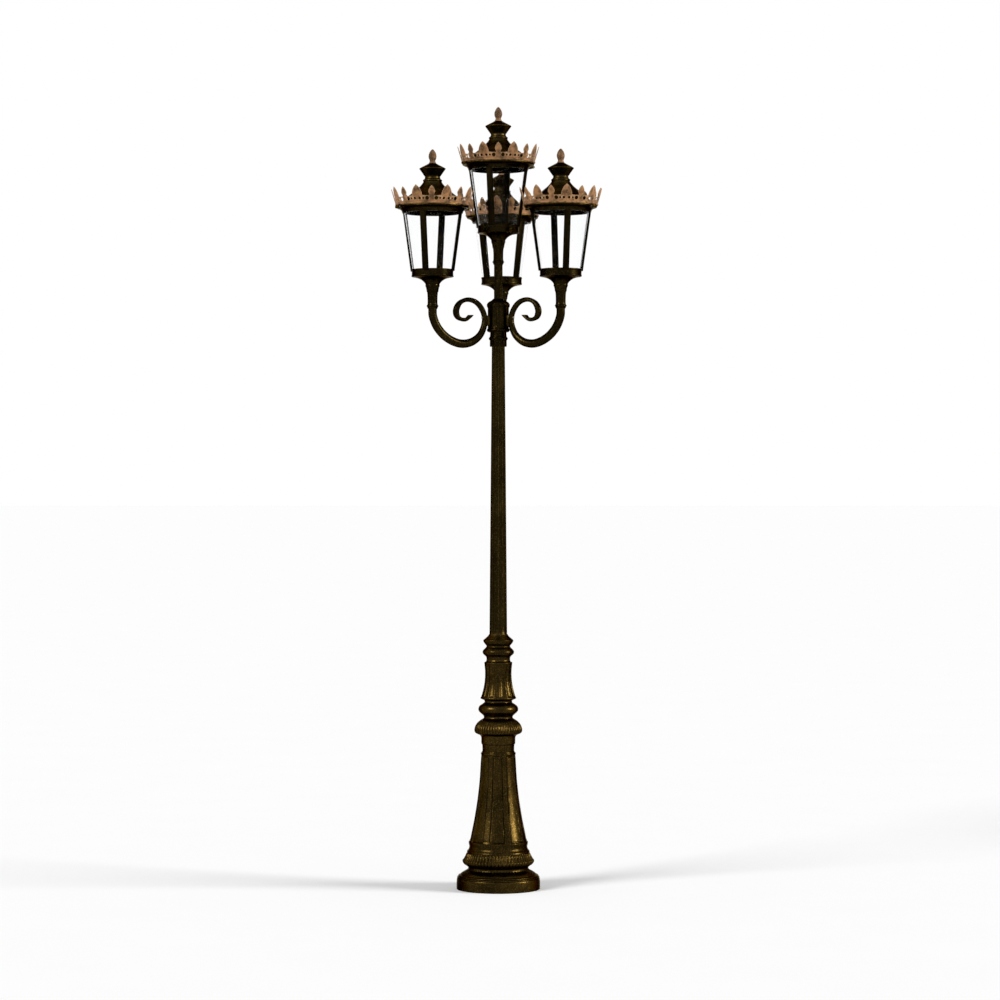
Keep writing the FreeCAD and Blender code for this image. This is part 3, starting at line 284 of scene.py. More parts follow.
def wall_cut(bm: BMesh, half: float, foot: float, head: float, keep_leaf: bool) -> None:
    """Cuts a rectangle through the wall that faces +Y, and closes the cut between its two faces.

    Args:
        bm: The mesh of a hollow piece.
        half: Half the rectangle's width.
        foot: The height of its lower side.
        head: The height of its upper side.
        keep_leaf: Whether the rectangle is kept, not the rest.
    """
    margin = 60.0

    def near(aside: float, below: float, above: float) -> list[bmesh.types.BMFace]:
        """The faces whose middle lies in a stretch of the wall."""
        middles = ((face, face.calc_center_median()) for face in bm.faces)
        return [face for face, at in middles if at.y > 0.0 and abs(at.x) < aside and below < at.z < above]

    for point, normal in (((half, 0, 0), (1, 0, 0)), ((-half, 0, 0), (1, 0, 0)), ((0, 0, foot), (0, 0, 1)),
                          ((0, 0, head), (0, 0, 1))):
        faces = near(half + margin, foot - margin, head + margin)
        edges = {edge for face in faces for edge in face.edges}
        verts = {vert for face in faces for vert in face.verts}
        bmesh.ops.bisect_plane(bm, geom=[*verts, *edges, *faces], dist=0.001, plane_co=point, plane_no=normal)
    leaf = set(near(half, foot, head))
    unwanted = [face for face in bm.faces if (face in leaf) != keep_leaf]
    bmesh.ops.delete(bm, geom=unwanted, context="FACES")
    bmesh.ops.bridge_loops(bm, edges=[edge for edge in bm.edges if edge.is_boundary])
    bmesh.ops.recalc_face_normals(bm, faces=bm.faces[:])


def added(name: str, data: bpy.types.ID) -> bpy.types.Object:
    """A new object in the scene."""
    thing = bpy.data.objects.new(name, data)
    bpy.context.scene.collection.objects.link(thing)
    return thing


def put(bm: BMesh, name: str, coat: Coat, body: str, node: str, placing: Matrix = HERE, sharp: float = 38.0) -> None:
    """Makes an object of a finished mesh and sets it in the model.

    Args:
        bm: The mesh in millimetres, which is freed.
        name: The piece's name.
        coat: Its material and slot.
        body: The body it rides on.
        node: The CAD node it stands for.
        placing: Its placing, which goes into its mesh.
        sharp: The angle past which an edge stays sharp, in degrees.
    """
    bmesh.ops.transform(bm, matrix=Matrix.Scale(MM, 4) @ placing, verts=bm.verts[:])
    mesh = bpy.data.meshes.new(name)
    bm.to_mesh(mesh)
    bm.free()
    mesh.shade_smooth()
    mesh.set_sharp_from_angle(angle=radians(sharp))
    mesh.materials.append(coat.material)
    piece = added(name, mesh)
    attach(piece, body)
    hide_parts(node)
    log.info("%s rides on %s, %d faces", name, body, len(mesh.polygons))


def dress_node(name: str, coat: Coat) -> None:
    """Gives a CAD node that stays in view a finish."""
    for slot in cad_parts[name].material_slots:
        slot.material = coat.material
    log.info("%s keeps its CAD shape", name)


# --- coats
class Sheet:
    """A material's node sheet, with short calls that add and join its nodes."""

    def __init__(self, name: str) -> None:
        """Starts a sheet with only a Principled shader on it."""
        self.material = bpy.data.materials.new(name)
        self.material.use_nodes = True
        self.nodes = self.material.node_tree.nodes
        self.links = self.material.node_tree.links
        self.shader = self.nodes["Principled BSDF"]
        self.place = self.nodes.new("ShaderNodeTexCoord").outputs["Object"]

    def join(self, source: Socket, node: bpy.types.Node, socket: str) -> None:
        """Leads a socket to a node's named input."""
        self.links.new(source, node.inputs[socket])

    def node(self, kind: str, **values: float | tuple[float, ...]) -> bpy.types.Node:
        """Adds a node and sets its sockets; an underscore in their names stands for a blank."""
        node = self.nodes.new(f"ShaderNode{kind}")
        for name, value in values.items():
            node.inputs[name.replace("_", " ")].default_value = value
        return node

    def noise(self, scale: float, detail: float, roughness: float = 0.55, stretch: Colour | None = None) -> Socket:
        """Cloudy noise from 0 to 1.

        Args:
            scale: Its scale, per metre.
            detail: How many finer layers it has.
            roughness: How strong these are.
            stretch: How often it repeats along each axis.

        Returns:
            Its value.
        """
        node = self.node("TexNoise", Scale=scale, Detail=detail, Roughness=roughness)
        self.join(self.place, node, "Vector")
        if stretch:
            mapping = self.node("Mapping", Scale=stretch)
            self.join(self.place, mapping, "Vector")
            self.join(mapping.outputs["Vector"], node, "Vector")
        return node.outputs["Fac"]

    def level(self, source: Socket, start: float, end: float, low: float = 0.0, high: float = 1.0) -> Socket:
        """A value spread from one range to another, and held inside it.

        Args:
            source: The value.
            start: The value that becomes low.
            end: The value that becomes high.
            low: Where the new range starts.
            high: Where it ends.

        Returns:
            The new value.
        """
        node = self.node("MapRange", From_Min=start, From_Max=end, To_Min=low, To_Max=high)
        node.interpolation_type = "SMOOTHSTEP"
        self.join(source, node, "Value")
        return node.outputs["Result"]

    def blend(self, share: Socket, first: Socket | Colour, second: Socket | Colour) -> Socket:
        """Mixes two colours.

        Args:
            share: How much of the second shows.
            first: A colour or a socket.
            second: A colour or a socket.

        Returns:
            The mixed colour.
        """
        node = self.node("Mix")
        node.data_type = "RGBA"
        self.links.new(share, node.inputs[0])
        for index, colour in ((6, first), (7, second)):
            if isinstance(colour, tuple):
                node.inputs[index].default_value = (*colour, 1.0)
            else:
                self.links.new(colour, node.inputs[index])
        return node.outputs[2]

    def product(self, first: Socket, second: Socket) -> Socket:
        """Two values multiplied."""
        node = self.node("Math")
        node.operation = "MULTIPLY"
        self.links.new(first, node.inputs[0])
        self.links.new(second, node.inputs[1])
        return node.outputs["Value"]

    def edges(self, start: float, end: float) -> Socket:
        """How far a spot stands out on an edge: 0 on the flat, 1 on a crest."""
        return self.level(self.node("NewGeometry").outputs["Pointiness"], start, end)

    def bump(self, source: Socket, depth: float, strength: float = 1.0, over: Socket | None = None) -> Socket:
        """A fine relief.

        Args:
            source: Its height.
            depth: How deep it is, in metres.
            strength: How strongly it shows.
            over: A relief that it lies on.

        Returns:
            The normal.
        """
        node = self.node("Bump", Strength=strength, Distance=depth)
        self.join(source, node, "Height")
        if over:
            self.join(over, node, "Normal")
        return node.outputs["Normal"]

    def finished(self, *sources: Socket, **values: float | tuple[float, ...]) -> Material:
        """Completes the shader.

        Args:
            sources: Its colour, its roughness and its normal, in that order.
            values: Its constant sockets; an underscore in a name stands for a blank.

        Returns:
            The material.
        """
        for source, socket in zip(sources, ("Base Color", "Roughness", "Normal")):
            self.join(source, self.shader, socket)
        for name, value in values.items():
            self.shader.inputs[name.replace("_", " ")].default_value = value
        return self.material


@dataclass(frozen=True)
class Bronzed:
    """Near-black bronze paint with a rubbed gold-brown patina, a fine gold speckle, near-black grooves, and gold on
    its crests that is partly wear and partly a painted highlight.
    """

    name: str
    slot: Slot
    dark: Colour = (0.012, 0.0078, 0.002)
    brown: Colour = (0.031, 0.0187, 0.0044)
    gold: Colour = (0.19, 0.114, 0.028)
    groove_dark: Colour = (0.004, 0.0028, 0.0009)
    speckle: float = 0.26
    rubbed: float = 0.12
    # worn sets the gold on the crests, which is partly wear and partly a painted highlight.
    worn: float = 0.3
    roughness: tuple[float, float] = (0.2, 0.32)

    def coat(self) -> Coat:
        """Builds the coat."""
        sheet = Sheet(self.name)
        clouds = sheet.level(sheet.noise(7.0, 5.0), 0.32, 0.68)
        colour = sheet.blend(clouds, self.dark, self.brown)
        runs = sheet.level(sheet.noise(1.0, 4.0, 0.6, (95.0, 95.0, 9.0)), 0.5, 0.72, 0.0, self.rubbed)
        colour = sheet.blend(sheet.product(runs, clouds), colour, self.gold)
        specks = sheet.level(sheet.noise(230.0, 1.0, 0.5), 0.57, 0.67, 0.0, self.speckle)
        colour = sheet.blend(specks, colour, self.gold)
        pits = sheet.level(sheet.noise(150.0, 3.0), 0.5, 0.3, 0.0, 0.75)
        colour = sheet.blend(pits, colour, self.dark)
        # Near-black in grooves and creases, where the pointiness is low.
        colour = sheet.blend(sheet.edges(0.485, 0.43), colour, self.groove_dark)
        # Gold on the crests: partly rubbed wear, partly a painted highlight that stands in for the lamps' glints.
        if self.worn:
            wear_and_highlight_patches = sheet.level(sheet.noise(60.0, 4.0), 0.35, 0.6, 0.2 * self.worn, self.worn)
            colour = sheet.blend(sheet.product(sheet.edges(0.515, 0.6), wear_and_highlight_patches), colour, self.gold)
        rough = sheet.level(sheet.noise(45.0, 5.0), 0.3, 0.7, *self.roughness)
        coarse = sheet.bump(sheet.noise(110.0, 4.0), 0.0004, 0.35)
        fine = sheet.bump(sheet.noise(620.0, 3.0), 0.00012, 0.4, coarse)
        return Coat(sheet.finished(colour, rough, fine, Metallic=1.0, Specular_Tint=(0.35, 0.3, 0.2, 1.0)), self.slot)


@dataclass(frozen=True)
class AgedCopper:
    """Matt pinkish-brown copper with darker stains and paler worn edges."""

    name: str
    pink: Colour = (0.31, 0.155, 0.066)
    brown: Colour = (0.085, 0.043, 0.018)
    stain: Colour = (0.018, 0.011, 0.006)
    pale: Colour = (0.4, 0.25, 0.135)

    def coat(self) -> Coat:
        """Builds the coat."""
        sheet = Sheet(self.name)
        colour = sheet.blend(sheet.level(sheet.noise(26.0, 5.0), 0.38, 0.62), self.pink, self.brown)
        colour = sheet.blend(sheet.level(sheet.noise(75.0, 5.0, 0.65), 0.54, 0.68, 0.0, 0.85), colour, self.stain)
        colour = sheet.blend(sheet.level(sheet.noise(300.0, 2.0), 0.55, 0.7, 0.0, 0.5), colour, self.pale)
        colour = sheet.blend(sheet.edges(0.52, 0.62), colour, self.pale)
        colour = sheet.blend(sheet.edges(0.495, 0.45), colour, self.stain)
        rough = sheet.level(sheet.noise(70.0, 4.0), 0.3, 0.7, 0.5, 0.72)
        dents = sheet.bump(sheet.noise(260.0, 4.0), 0.0005, 0.6)
        return Coat(sheet.finished(colour, rough, dents, Metallic=0.5, Specular_IOR_Level=0.2), Slot.COPPER)


@dataclass(frozen=True)
class ClearGlass:
    """Clear drawn glass with the faintest waviness and dust."""

    name: str

    def coat(self) -> Coat:
        """Builds the coat."""
        sheet = Sheet(self.name)
        haze = sheet.blend(sheet.level(sheet.noise(9.0, 3.0), 0.4, 0.7), (1.0, 1.0, 1.0), (0.985, 0.99, 0.992))
        dust = sheet.level(sheet.noise(30.0, 4.0), 0.5, 0.9, 0.0, 0.012)
        waves = sheet.bump(sheet.noise(12.0, 1.0), 0.0002, 0.1)
        return Coat(sheet.finished(haze, dust, waves, Transmission_Weight=1.0, IOR=1.08), Slot.GLASS)


@dataclass(frozen=True)
class Painted:
    """A plain painted, moulded or blackened surface with faint variation."""

    name: str
    slot: Slot
    colour: Colour
    worn: Colour
    metallic: float
    roughness: tuple[float, float]
    grain: float = 260.0

    def coat(self) -> Coat:
        """Builds the coat."""
        sheet = Sheet(self.name)
        colour = sheet.blend(sheet.level(sheet.noise(self.grain / 6, 4.0), 0.4, 0.75), self.colour, self.worn)
        colour = sheet.blend(sheet.edges(0.53, 0.62), colour, self.worn)
        rough = sheet.level(sheet.noise(self.grain / 3, 3.0), 0.3, 0.7, *self.roughness)
        grain = sheet.bump(sheet.noise(self.grain, 3.0), 0.0002, 0.4)
        return Coat(sheet.finished(colour, rough, grain, Metallic=self.metallic), self.slot)


class Coats:
    """All the object's coats."""

    def __init__(self) -> None:
        """Builds every coat."""
        metal = Slot.ALUMINIUM
        self.iron = Bronzed("bronzed_iron", Slot.IRON).coat()
        self.shaft = Bronzed("bronzed_shaft", Slot.IRON, (0.0075, 0.0052, 0.0015), (0.016, 0.0108, 0.0032),
                             speckle=0.16).coat()
        self.aluminium = Bronzed("bronzed_aluminium", metal, (0.0055, 0.004, 0.0012), (0.0115, 0.008, 0.0024),
                                 speckle=0.12, rubbed=0.1, worn=0.2).coat()
        # The roof coat is a lighter copy of the bronzed aluminium with heavy gold on its crests: painted light, with
        # a painted highlight that stands in for the lamps' glints round the roof's waist.
        self.roof = Bronzed("bronzed_roof_painted_light", metal, (0.011, 0.0078, 0.0024), (0.026, 0.0175, 0.0052),
                            speckle=0.15, worn=0.8, roughness=(0.24, 0.36)).coat()
        # The cage coat is a darker copy of the bronzed aluminium: painted shade that holds down the lamps' glints on
        # the uprights' flat faces.
        self.cage = Bronzed("bronzed_cage_painted_shade", metal, (0.0034, 0.0025, 0.0009), (0.0065, 0.0046, 0.0015),
                            speckle=0.05, rubbed=0.05, worn=0.0, roughness=(0.38, 0.5)).coat()
        self.copper = AgedCopper("aged_copper").coat()
        self.cone = AgedCopper("stained_copper", (0.2, 0.105, 0.05), (0.075, 0.04, 0.018)).coat()
        self.glass = ClearGlass("clear_glass").coat()
        self.lamp = Painted("lamp_white", Slot.LAMP, (0.82, 0.82, 0.79), (0.74, 0.74, 0.7), 0.0, (0.35, 0.5)).coat()
        self.steel = Painted("dark_steel", Slot.STEEL, (0.05, 0.042, 0.03), (0.16, 0.13, 0.09), 1.0, (0.3, 0.5),
                             500.0).coat()
        self.fuse = Painted("fuse_grey", Slot.FUSE, (0.21, 0.22, 0.23), (0.3, 0.31, 0.32), 0.0, (0.45, 0.65)).coat()


@dataclass(frozen=True)
class Flutes:
    """A row of flutes or lobes round a casting, which fades out towards both ends."""

    count: int
    depth: float
    heights: tuple[float, float, float, float]
    least: float
    half: float = 0.0
    phase: float = 0.0

    def relief(self, azimuth: float, height: float, radius: float) -> float:
        """The radius with the row carved in; with a half width of 0 they are lobes.

        Args:
            azimuth: In degrees.
            height: The height.
            radius: The plain radius.

        Returns:
            The carved radius.
        """
        foot, full, fading, head = self.heights
        if not foot < height < head or radius < self.least:
            return radius
        away = across(azimuth, self.count, self.phase)
        cut = hollow(away, self.half) if self.half else away ** 2.2
        return radius - self.depth * cut * ramp(height, foot, full) * ramp(height, head, fading)


# --- base
@dataclass
class Base:
    """The base casting, its access door and the fuse unit behind the door."""

    coats: Coats
    panels: int = 8
    panel_half: float = 17.2
    panel_foot: float = 212.0
    panel_head: float = 602.0
    panel_depth: float = 4.2
    rail_depth: float = 2.4
    door_azimuth: float = 90.0
    bands: tuple[tuple[float, ...], ...] = ((106.0, 163.0, 4.4, 611.0), (66.0, 90.0, 2.0, 174.0))
    band_least: float = 134.0
    leaves: int = 60
    door_half: float = 26.0
    door_foot: float = 256.0
    door_head: float = 424.0
    door_gap: float = 0.5
    head_gap: float = 1.5
    hinge_out: float = 122.07
    hinge_z: float = 250.0
    outline: Outline = (
        (0, 105), (0, 186.5, 1), (3, 187), (46, 185.8), (49, 184.6, 1), (50, 181.6, 1), (52, 184), (54.5, 184),
        (56.5, 181, 1), (57, 177.4, 1), (59, 179.8), (61.5, 179.2), (63.5, 175.4, 1), (65, 170.5, 1), (69, 166.5),
        (75, 158), (80, 149), (84, 141.5), (88, 137), (92, 135), (98, 135.5, 1), (103, 140.5), (110, 150),
        (118, 156.5), (125, 159), (130, 158), (131, 156, 1), (137, 152), (146, 147), (155, 143), (163, 140, 1),
        (166, 140.8), (172, 138.5), (176, 134, 1), (183, 131), (190, 130), (195, 130.4), (201, 132), (208, 132.8),
        (214, 131.8), (219, 129.8, 1), (226, 128.8), (307, 112), (396, 97), (486, 86.5), (576, 80.6), (605, 78, 1),
        (609, 77.4), (611, 75.2, 1), (611, 32.3),
    )
    cavity: Outline = (
        (611, 32.3), (574, 32.3, 1), (574, 68, 1), (486, 76), (307, 101), (244, 108), (92, 116.5, 1), (61, 160),
        (14, 173, 1), (14, 105, 1), (0, 105),
    )

    def relief(self, azimuth: float, height: float, radius: float) -> float:
        """The radius with the leaf band, the row of buds and the framed panels carved in.

        Args:
            azimuth: In degrees.
            height: The height.
            radius: The plain radius.

        Returns:
            The carved radius.
        """
        for foot, head, depth, widest in self.bands:
            if foot < height < head and self.band_least < radius < widest:
                share = (height - foot) / (head - foot)
                half = max(0.95 * sin(pi * share ** 0.7) ** 0.4, 0.01)
                swell = (hollow(across(azimuth, self.leaves), half) - 0.6) * ramp(share, 0.0, 0.12)
                return radius + depth * swell * ramp(share, 1.0, 0.88)
        if not self.panel_foot < height < self.panel_head or radius < 70.0:
            return radius
        aside = radians(self.panel_half - across(azimuth, self.panels) * 180.0 / self.panels) * radius
        inside = min(aside, height - self.panel_foot, self.panel_head - height)
        if inside < 0.0:
            return radius
        sunk = self.panel_depth * ramp(inside, 0.0, 3.5)
        if across(azimuth, 1, self.door_azimuth / 360.0) * 180.0 < self.panel_half:
            return radius - sunk
        rail = self.rail_depth * ramp(inside, 5.0, 7.0) * ramp(inside, 11.5, 9.5)
        return radius - sunk + rail

    def build(self) -> None:
        """Builds the base, the door, its screw and the fuse unit."""
        casting = turned(self.outline, 480, 4.5, self.relief)
        join(casting, turned(self.cavity, 120, 40.0))
        close_up(casting)
        door = casting.copy()
        wall_cut(casting, self.door_half + self.door_gap, self.door_foot - self.door_gap,
                 self.door_head + self.head_gap, keep_leaf=False)
        out, up = self.hinge_out, self.hinge_z
        for near, far in ((-15.5, -9.5), (9.5, 15.5)):
            join(casting, bar((near, out, up), (far, out, up), 4.5))
            join(casting, block((near, out - 15.0, up - 4.5), (far, out, up + 1.4), 0.5))
        join(casting, block((-8.0, 71.5, 408.0), (8.0, 80.5, 456.0), 1.0))
        put(casting, "base_shell", self.coats.iron, "post", "base_casting", sharp=32.0)

        wall_cut(door, self.door_half, self.door_foot, self.door_head, keep_leaf=True)
        join(door, bar((-9.0, out, up), (9.0, out, up), 4.5))
        join(door, block((-9.0, 113.0, self.door_foot), (9.0, 124.0, self.door_foot + 7.0), 0.8))
        join(door, block((-9.0, 120.0, up), (9.0, 124.0, self.door_foot + 2.0), 0.4))
        put(door, "door_leaf", self.coats.iron, "access_door", "base_door", sharp=32.0)

        seat = Vector((0.0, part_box("base_door_screw")[1].y / MM - 4.0, self.door_head - 9.0))
        screw = hexagon_bolt(seat, Vector((0, 1, 0)), (5.0, 4.0), (2.5, 14.0))
        put(screw, "door_bolt", self.coats.steel, "access_door", "base_door_screw")
        self.fuse_unit()

    def fuse_unit(self) -> None:
        """Builds the fuse unit: its box, its ribbed cover, its fuse carrier and its cable glands."""
        low, high = (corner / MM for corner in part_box("fuse_unit"))
        unit = block(low, (high.x, high.y - 3.0, high.z), 2.5)
        join(unit, block((low.x + 3.0, high.y - 4.0, low.z + 4.0), (high.x - 3.0, high.y - 1.2, high.z - 4.0), 1.2))
        for step in range(5):
            foot = low.z + 14.0 + 7.0 * step
            join(unit, block((low.x + 8.0, high.y - 1.6, foot), (high.x - 8.0, high.y, foot + 2.6), 0.5))
        join(unit, block((-9.0, high.y - 2.0, high.z - 62.0), (9.0, high.y, high.z - 20.0), 1.0))
        for out in (-11.0, 11.0):
            join(unit, bar((out, low.y + 12.0, low.z), (out, low.y + 12.0, low.z + 9.0), 7.5, 24, 0.8))
        put(unit, "fuse_box", self.coats.fuse, "post", "fuse_unit")


# --- castings threaded on the shaft
@dataclass
class Collars:
    """The bell collar, the fluted vase and the ring collar that are threaded on the shaft."""

    coats: Coats
    lobes: Flutes = Flutes(48, 3.2, (688.0, 702.0, 742.0, 763.0), 60.0)
    flutes: Flutes = Flutes(16, 3.8, (856.0, 866.0, 1000.0, 1010.0), 50.0, 0.8)
    bell: Outline = (
        (611, 32.3), (611, 74.2, 1), (614, 73.6), (617, 71.2, 1), (630, 71.3), (646, 72.2, 1), (649, 75),
        (654, 76.4, 1), (672, 76.4), (680, 77.2), (687, 81.5), (690, 85.5, 1), (694, 95), (699, 103.5), (706, 107),
        (712, 107.3), (719, 106.4), (728, 103.5), (737, 98.5), (746, 91), (755, 80), (763, 67, 1), (766, 65),
        (771, 64.6, 1), (775, 66.5), (782, 73.5), (791, 84), (798, 88.4), (804.5, 89.4), (811, 88.2), (818, 84.6),
        (827, 73), (833, 64, 1), (836, 61.8), (841, 61.8), (845, 63.8, 1), (845, 32.3, 1), (611, 32.3),
    )
    vase: Outline = (
        (845, 32.3), (845, 64, 1), (848, 71), (852, 79.4), (853.5, 80.2, 1), (856, 79.6), (862, 76.8), (880, 71.3),
        (898, 66.8), (916, 63.3), (934, 61), (952, 59.8), (979, 59.9), (997, 61.6), (1010, 62.8, 1), (1013, 62.6),
        (1015.5, 60, 1), (1018, 55.5), (1024, 53, 1), (1024, 32.3, 1), (845, 32.3),
    )
    ring: Outline = (
        (1024, 32.3), (1024, 53, 1), (1033, 53), (1038, 54.4, 1), (1043, 58.6), (1050, 66.4), (1055, 69.6),
        (1059.5, 70.6), (1064, 69.8), (1069, 67), (1077, 59.4), (1082, 54.6, 1), (1086, 52.8), (1090, 54, 1),
        (1096, 59.6), (1104, 65.2), (1109, 67.2), (1113, 67.4, 1), (1115, 66), (1119, 61), (1126, 53), (1133, 45.5),
        (1140, 41.2, 1), (1140, 32.3, 1), (1024, 32.3),
    )

    def build(self) -> None:
        """Builds the three castings."""
        iron = self.coats.iron
        put(turned(self.bell, 480, 4.0, self.lobes.relief), "bell_shell", iron, "post", "bell_collar")
        put(turned(self.vase, 288, 4.0, self.flutes.relief), "vase_shell", iron, "post", "vase_casting")
        put(turned(self.ring, 144, 3.0), "ring_shell", iron, "post", "ring_collar")


@dataclass
class Shaft:
    """The long fluted shaft, with its plain tail below and its spigot above."""

    coats: Coats
    flutes: Flutes = Flutes(14, 3.0, (1144.0, 1156.0, 2429.0, 2430.0), 25.0, 0.78)
    outline: Outline = (
        (240, 20), (240, 32, 1), (1140, 32, 1), (1140, 39.9, 1), (2428, 29.6, 1), (2428, 24, 1), (2533, 24, 1),
        (2533, 20, 1), (240, 20),
    )

    def build(self) -> None:
        """Builds the shaft."""
        shaft = turned(self.outline, 224, 12.0, self.flutes.relief)
        put(shaft, "shaft_tube", self.coats.shaft, "post", "shaft")


# --- hub, stem and arms
@dataclass
class Hub:
    """The hub, its collar and the stem of the raised lantern."""

    coats: Coats
    flutes: Flutes = Flutes(12, 2.6, (2513.0, 2520.0, 2593.0, 2600.0), 46.0, 0.62, 0.5)
    collar: Outline = (
        (2428, 24.3), (2428, 36.4, 1), (2430, 37.6), (2456, 37.9, 1), (2459, 40.6), (2462, 42.2), (2465, 42.6),
        (2468, 41.8), (2471, 38.6, 1), (2474, 37.6), (2482, 37), (2489, 36.6), (2493, 37.5, 1), (2493, 24.3, 1),
        (2428, 24.3),
    )
    outline: Outline = (
        (2493, 0), (2493, 44, 1), (2496, 48.6), (2499, 51), (2503, 51.4), (2507, 50, 1), (2510, 47.9), (2513, 47.6),
        (2600, 47.6), (2603, 47.9), (2605, 50, 1), (2608, 51.2), (2613, 51.5), (2618, 51.2), (2621, 49.6, 1),
        (2624, 47.6), (2629, 42), (2634, 33), (2639, 26), (2643, 22.6, 1), (2643, 0),
    )
    stem: Outline = (
        (2608, 0), (2608, 19.4, 1), (2643, 19.4), (2790, 19.2), (2795, 19.2, 1), (2795, 14, 1), (2825, 14, 1),
        (2825, 0),
    )

    def build(self) -> None:
        """Builds the collar, the hub and the stem."""
        metal = self.coats.aluminium
        put(turned(self.collar, 96, 2.5), "hub_ring", metal, "post", "hub_collar")
        put(turned(self.outline, 240, 3.0, self.flutes.relief), "hub_shell", metal, "post", "hub")
        put(turned(self.stem, 64, 20.0), "stem_tube", metal, "post", "centre_stem")


@dataclass
class ScrollArms:
    """The three scroll arms and the screws that hold them to the hub."""

    coats: Coats
    azimuths: dict[str, float]
    reach: float = 328.0
    hub_radius: float = 51.5
    foot: float = 2437.0
    height: float = 151.0
    tube_radius: float = 19.0
    half_width: float = 14.5
    half_depth: float = 12.0
    curl_half_depth: float = 8.5
    curl_swell: float = 6.0
    bud_half_depth: float = 13.5
    seat_z: float = 2543.0
    screw_spacing: float = 26.0
    path: Outline = (
        (1.0, 1.0), (0.996, 0.81), (0.943, 0.55), (0.877, 0.377), (0.772, 0.2), (0.617, 0.053), (0.461, 0.0),
        (0.284, 0.073), (0.132, 0.305), (0.06, 0.702), (0.103, 1.007), (0.219, 1.238), (0.378, 1.305),
        (0.519, 1.192), (0.58, 0.954), (0.548, 0.781), (0.461, 0.712), (0.4, 0.728), (0.35, 0.785), (0.315, 0.854),
    )

    def stations(self) -> list[Matrix]:
        """The placings of the arm's section, from its lantern to the tip of its scroll."""
        span = self.reach - self.hub_radius
        points = smooth([(self.hub_radius + out * span, self.foot + up * self.height) for out, up in self.path], 4.0)
        lengths = [0.0]
        for near, far in zip(points, points[1:]):
            lengths.append(lengths[-1] + (far - near).length)
        stations = []
        for index, point in enumerate(points):
            ahead = points[min(index + 1, len(points) - 1)] - points[max(index - 1, 0)]
            if index == 0:
                ahead = Vector((0.0, -1.0))
            share = lengths[index] / lengths[-1]
            along = ahead.normalized().lerp(Vector((0.0, 1.0)), ramp(share, 0.936, 0.975)).normalized()
            width = self.tube_radius + (self.half_width - self.tube_radius) * ramp(share, 0.3, 0.48)
            depth = self.tube_radius + (self.half_depth - self.tube_radius) * ramp(share, 0.3, 0.62)
            depth += (self.curl_half_depth - self.half_depth) * ramp(share, 0.62, 0.86)
            depth += self.curl_swell * ramp(share, 0.765, 0.85) * ramp(share, 0.928, 0.87)
            depth += (self.bud_half_depth - self.curl_half_depth) * ramp(share, 0.937, 0.972)
            rows = (
                (along.y * depth, 0.0, along.x, point.x),
                (0.0, width, 0.0, 0.0),
                (-along.x * depth, 0.0, along.y, point.y),
                (0.0, 0.0, 0.0, 1.0),
            )
            stations.append(Matrix(rows))
        return stations

    def arm(self) -> BMesh:
        """One arm along +X: its bar, its pad on the hub and its spigot."""
        arm = bmesh.new()
        stations = self.stations()
        bmesh.ops.create_circle(arm, segments=28, radius=1.0, matrix=stations[0])
        loop = arm.edges[:]
        for here, there in zip(stations, stations[1:]):
            grown = bmesh.ops.extrude_edge_only(arm, edges=loop)["geom"]
            verts = [item for item in grown if isinstance(item, bmesh.types.BMVert)]
            bmesh.ops.transform(arm, matrix=there @ here.inverted(), verts=verts)
            fresh = set(verts)
            loop = [item for item in grown if isinstance(item, bmesh.types.BMEdge) and set(item.verts) <= fresh]
        bmesh.ops.holes_fill(arm, edges=arm.edges[:])
        close_up(arm)
        nearest = min(vert.co.x for vert in arm.verts)
        join(arm, block((42.0, -11.0, self.seat_z - 23.0), (nearest + 9.0, 11.0, self.seat_z + 23.0), 2.5))
        head = self.foot + self.height
        join(arm, bar((self.reach, 0, head - 2.0), (self.reach, 0, head + 30.0), 14.0, 32, 0.8))
        return arm

    def build(self) -> None:
        """Builds the arms and their screws."""
        screws = bmesh.new()
        head_end = max(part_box("arm_screws")[1].y, 0.0) / MM
        for name, azimuth in self.azimuths.items():
            turn = spin(azimuth)
            put(self.arm(), f"scroll_{name}", self.coats.aluminium, "post", f"arm_{name}", turn)
            for side in (-1, 1):
                seat = Vector((head_end - 5.0, 0.0, self.seat_z + side * self.screw_spacing / 2))
                screw = hexagon_bolt(seat, Vector((1, 0, 0)), (7.0, 5.0), (3.5, 30.0))
                bmesh.ops.transform(screw, matrix=turn, verts=screw.verts[:])
                join(screws, screw)
        put(screws, "arm_bolts", self.coats.steel, "post", "arm_screws")


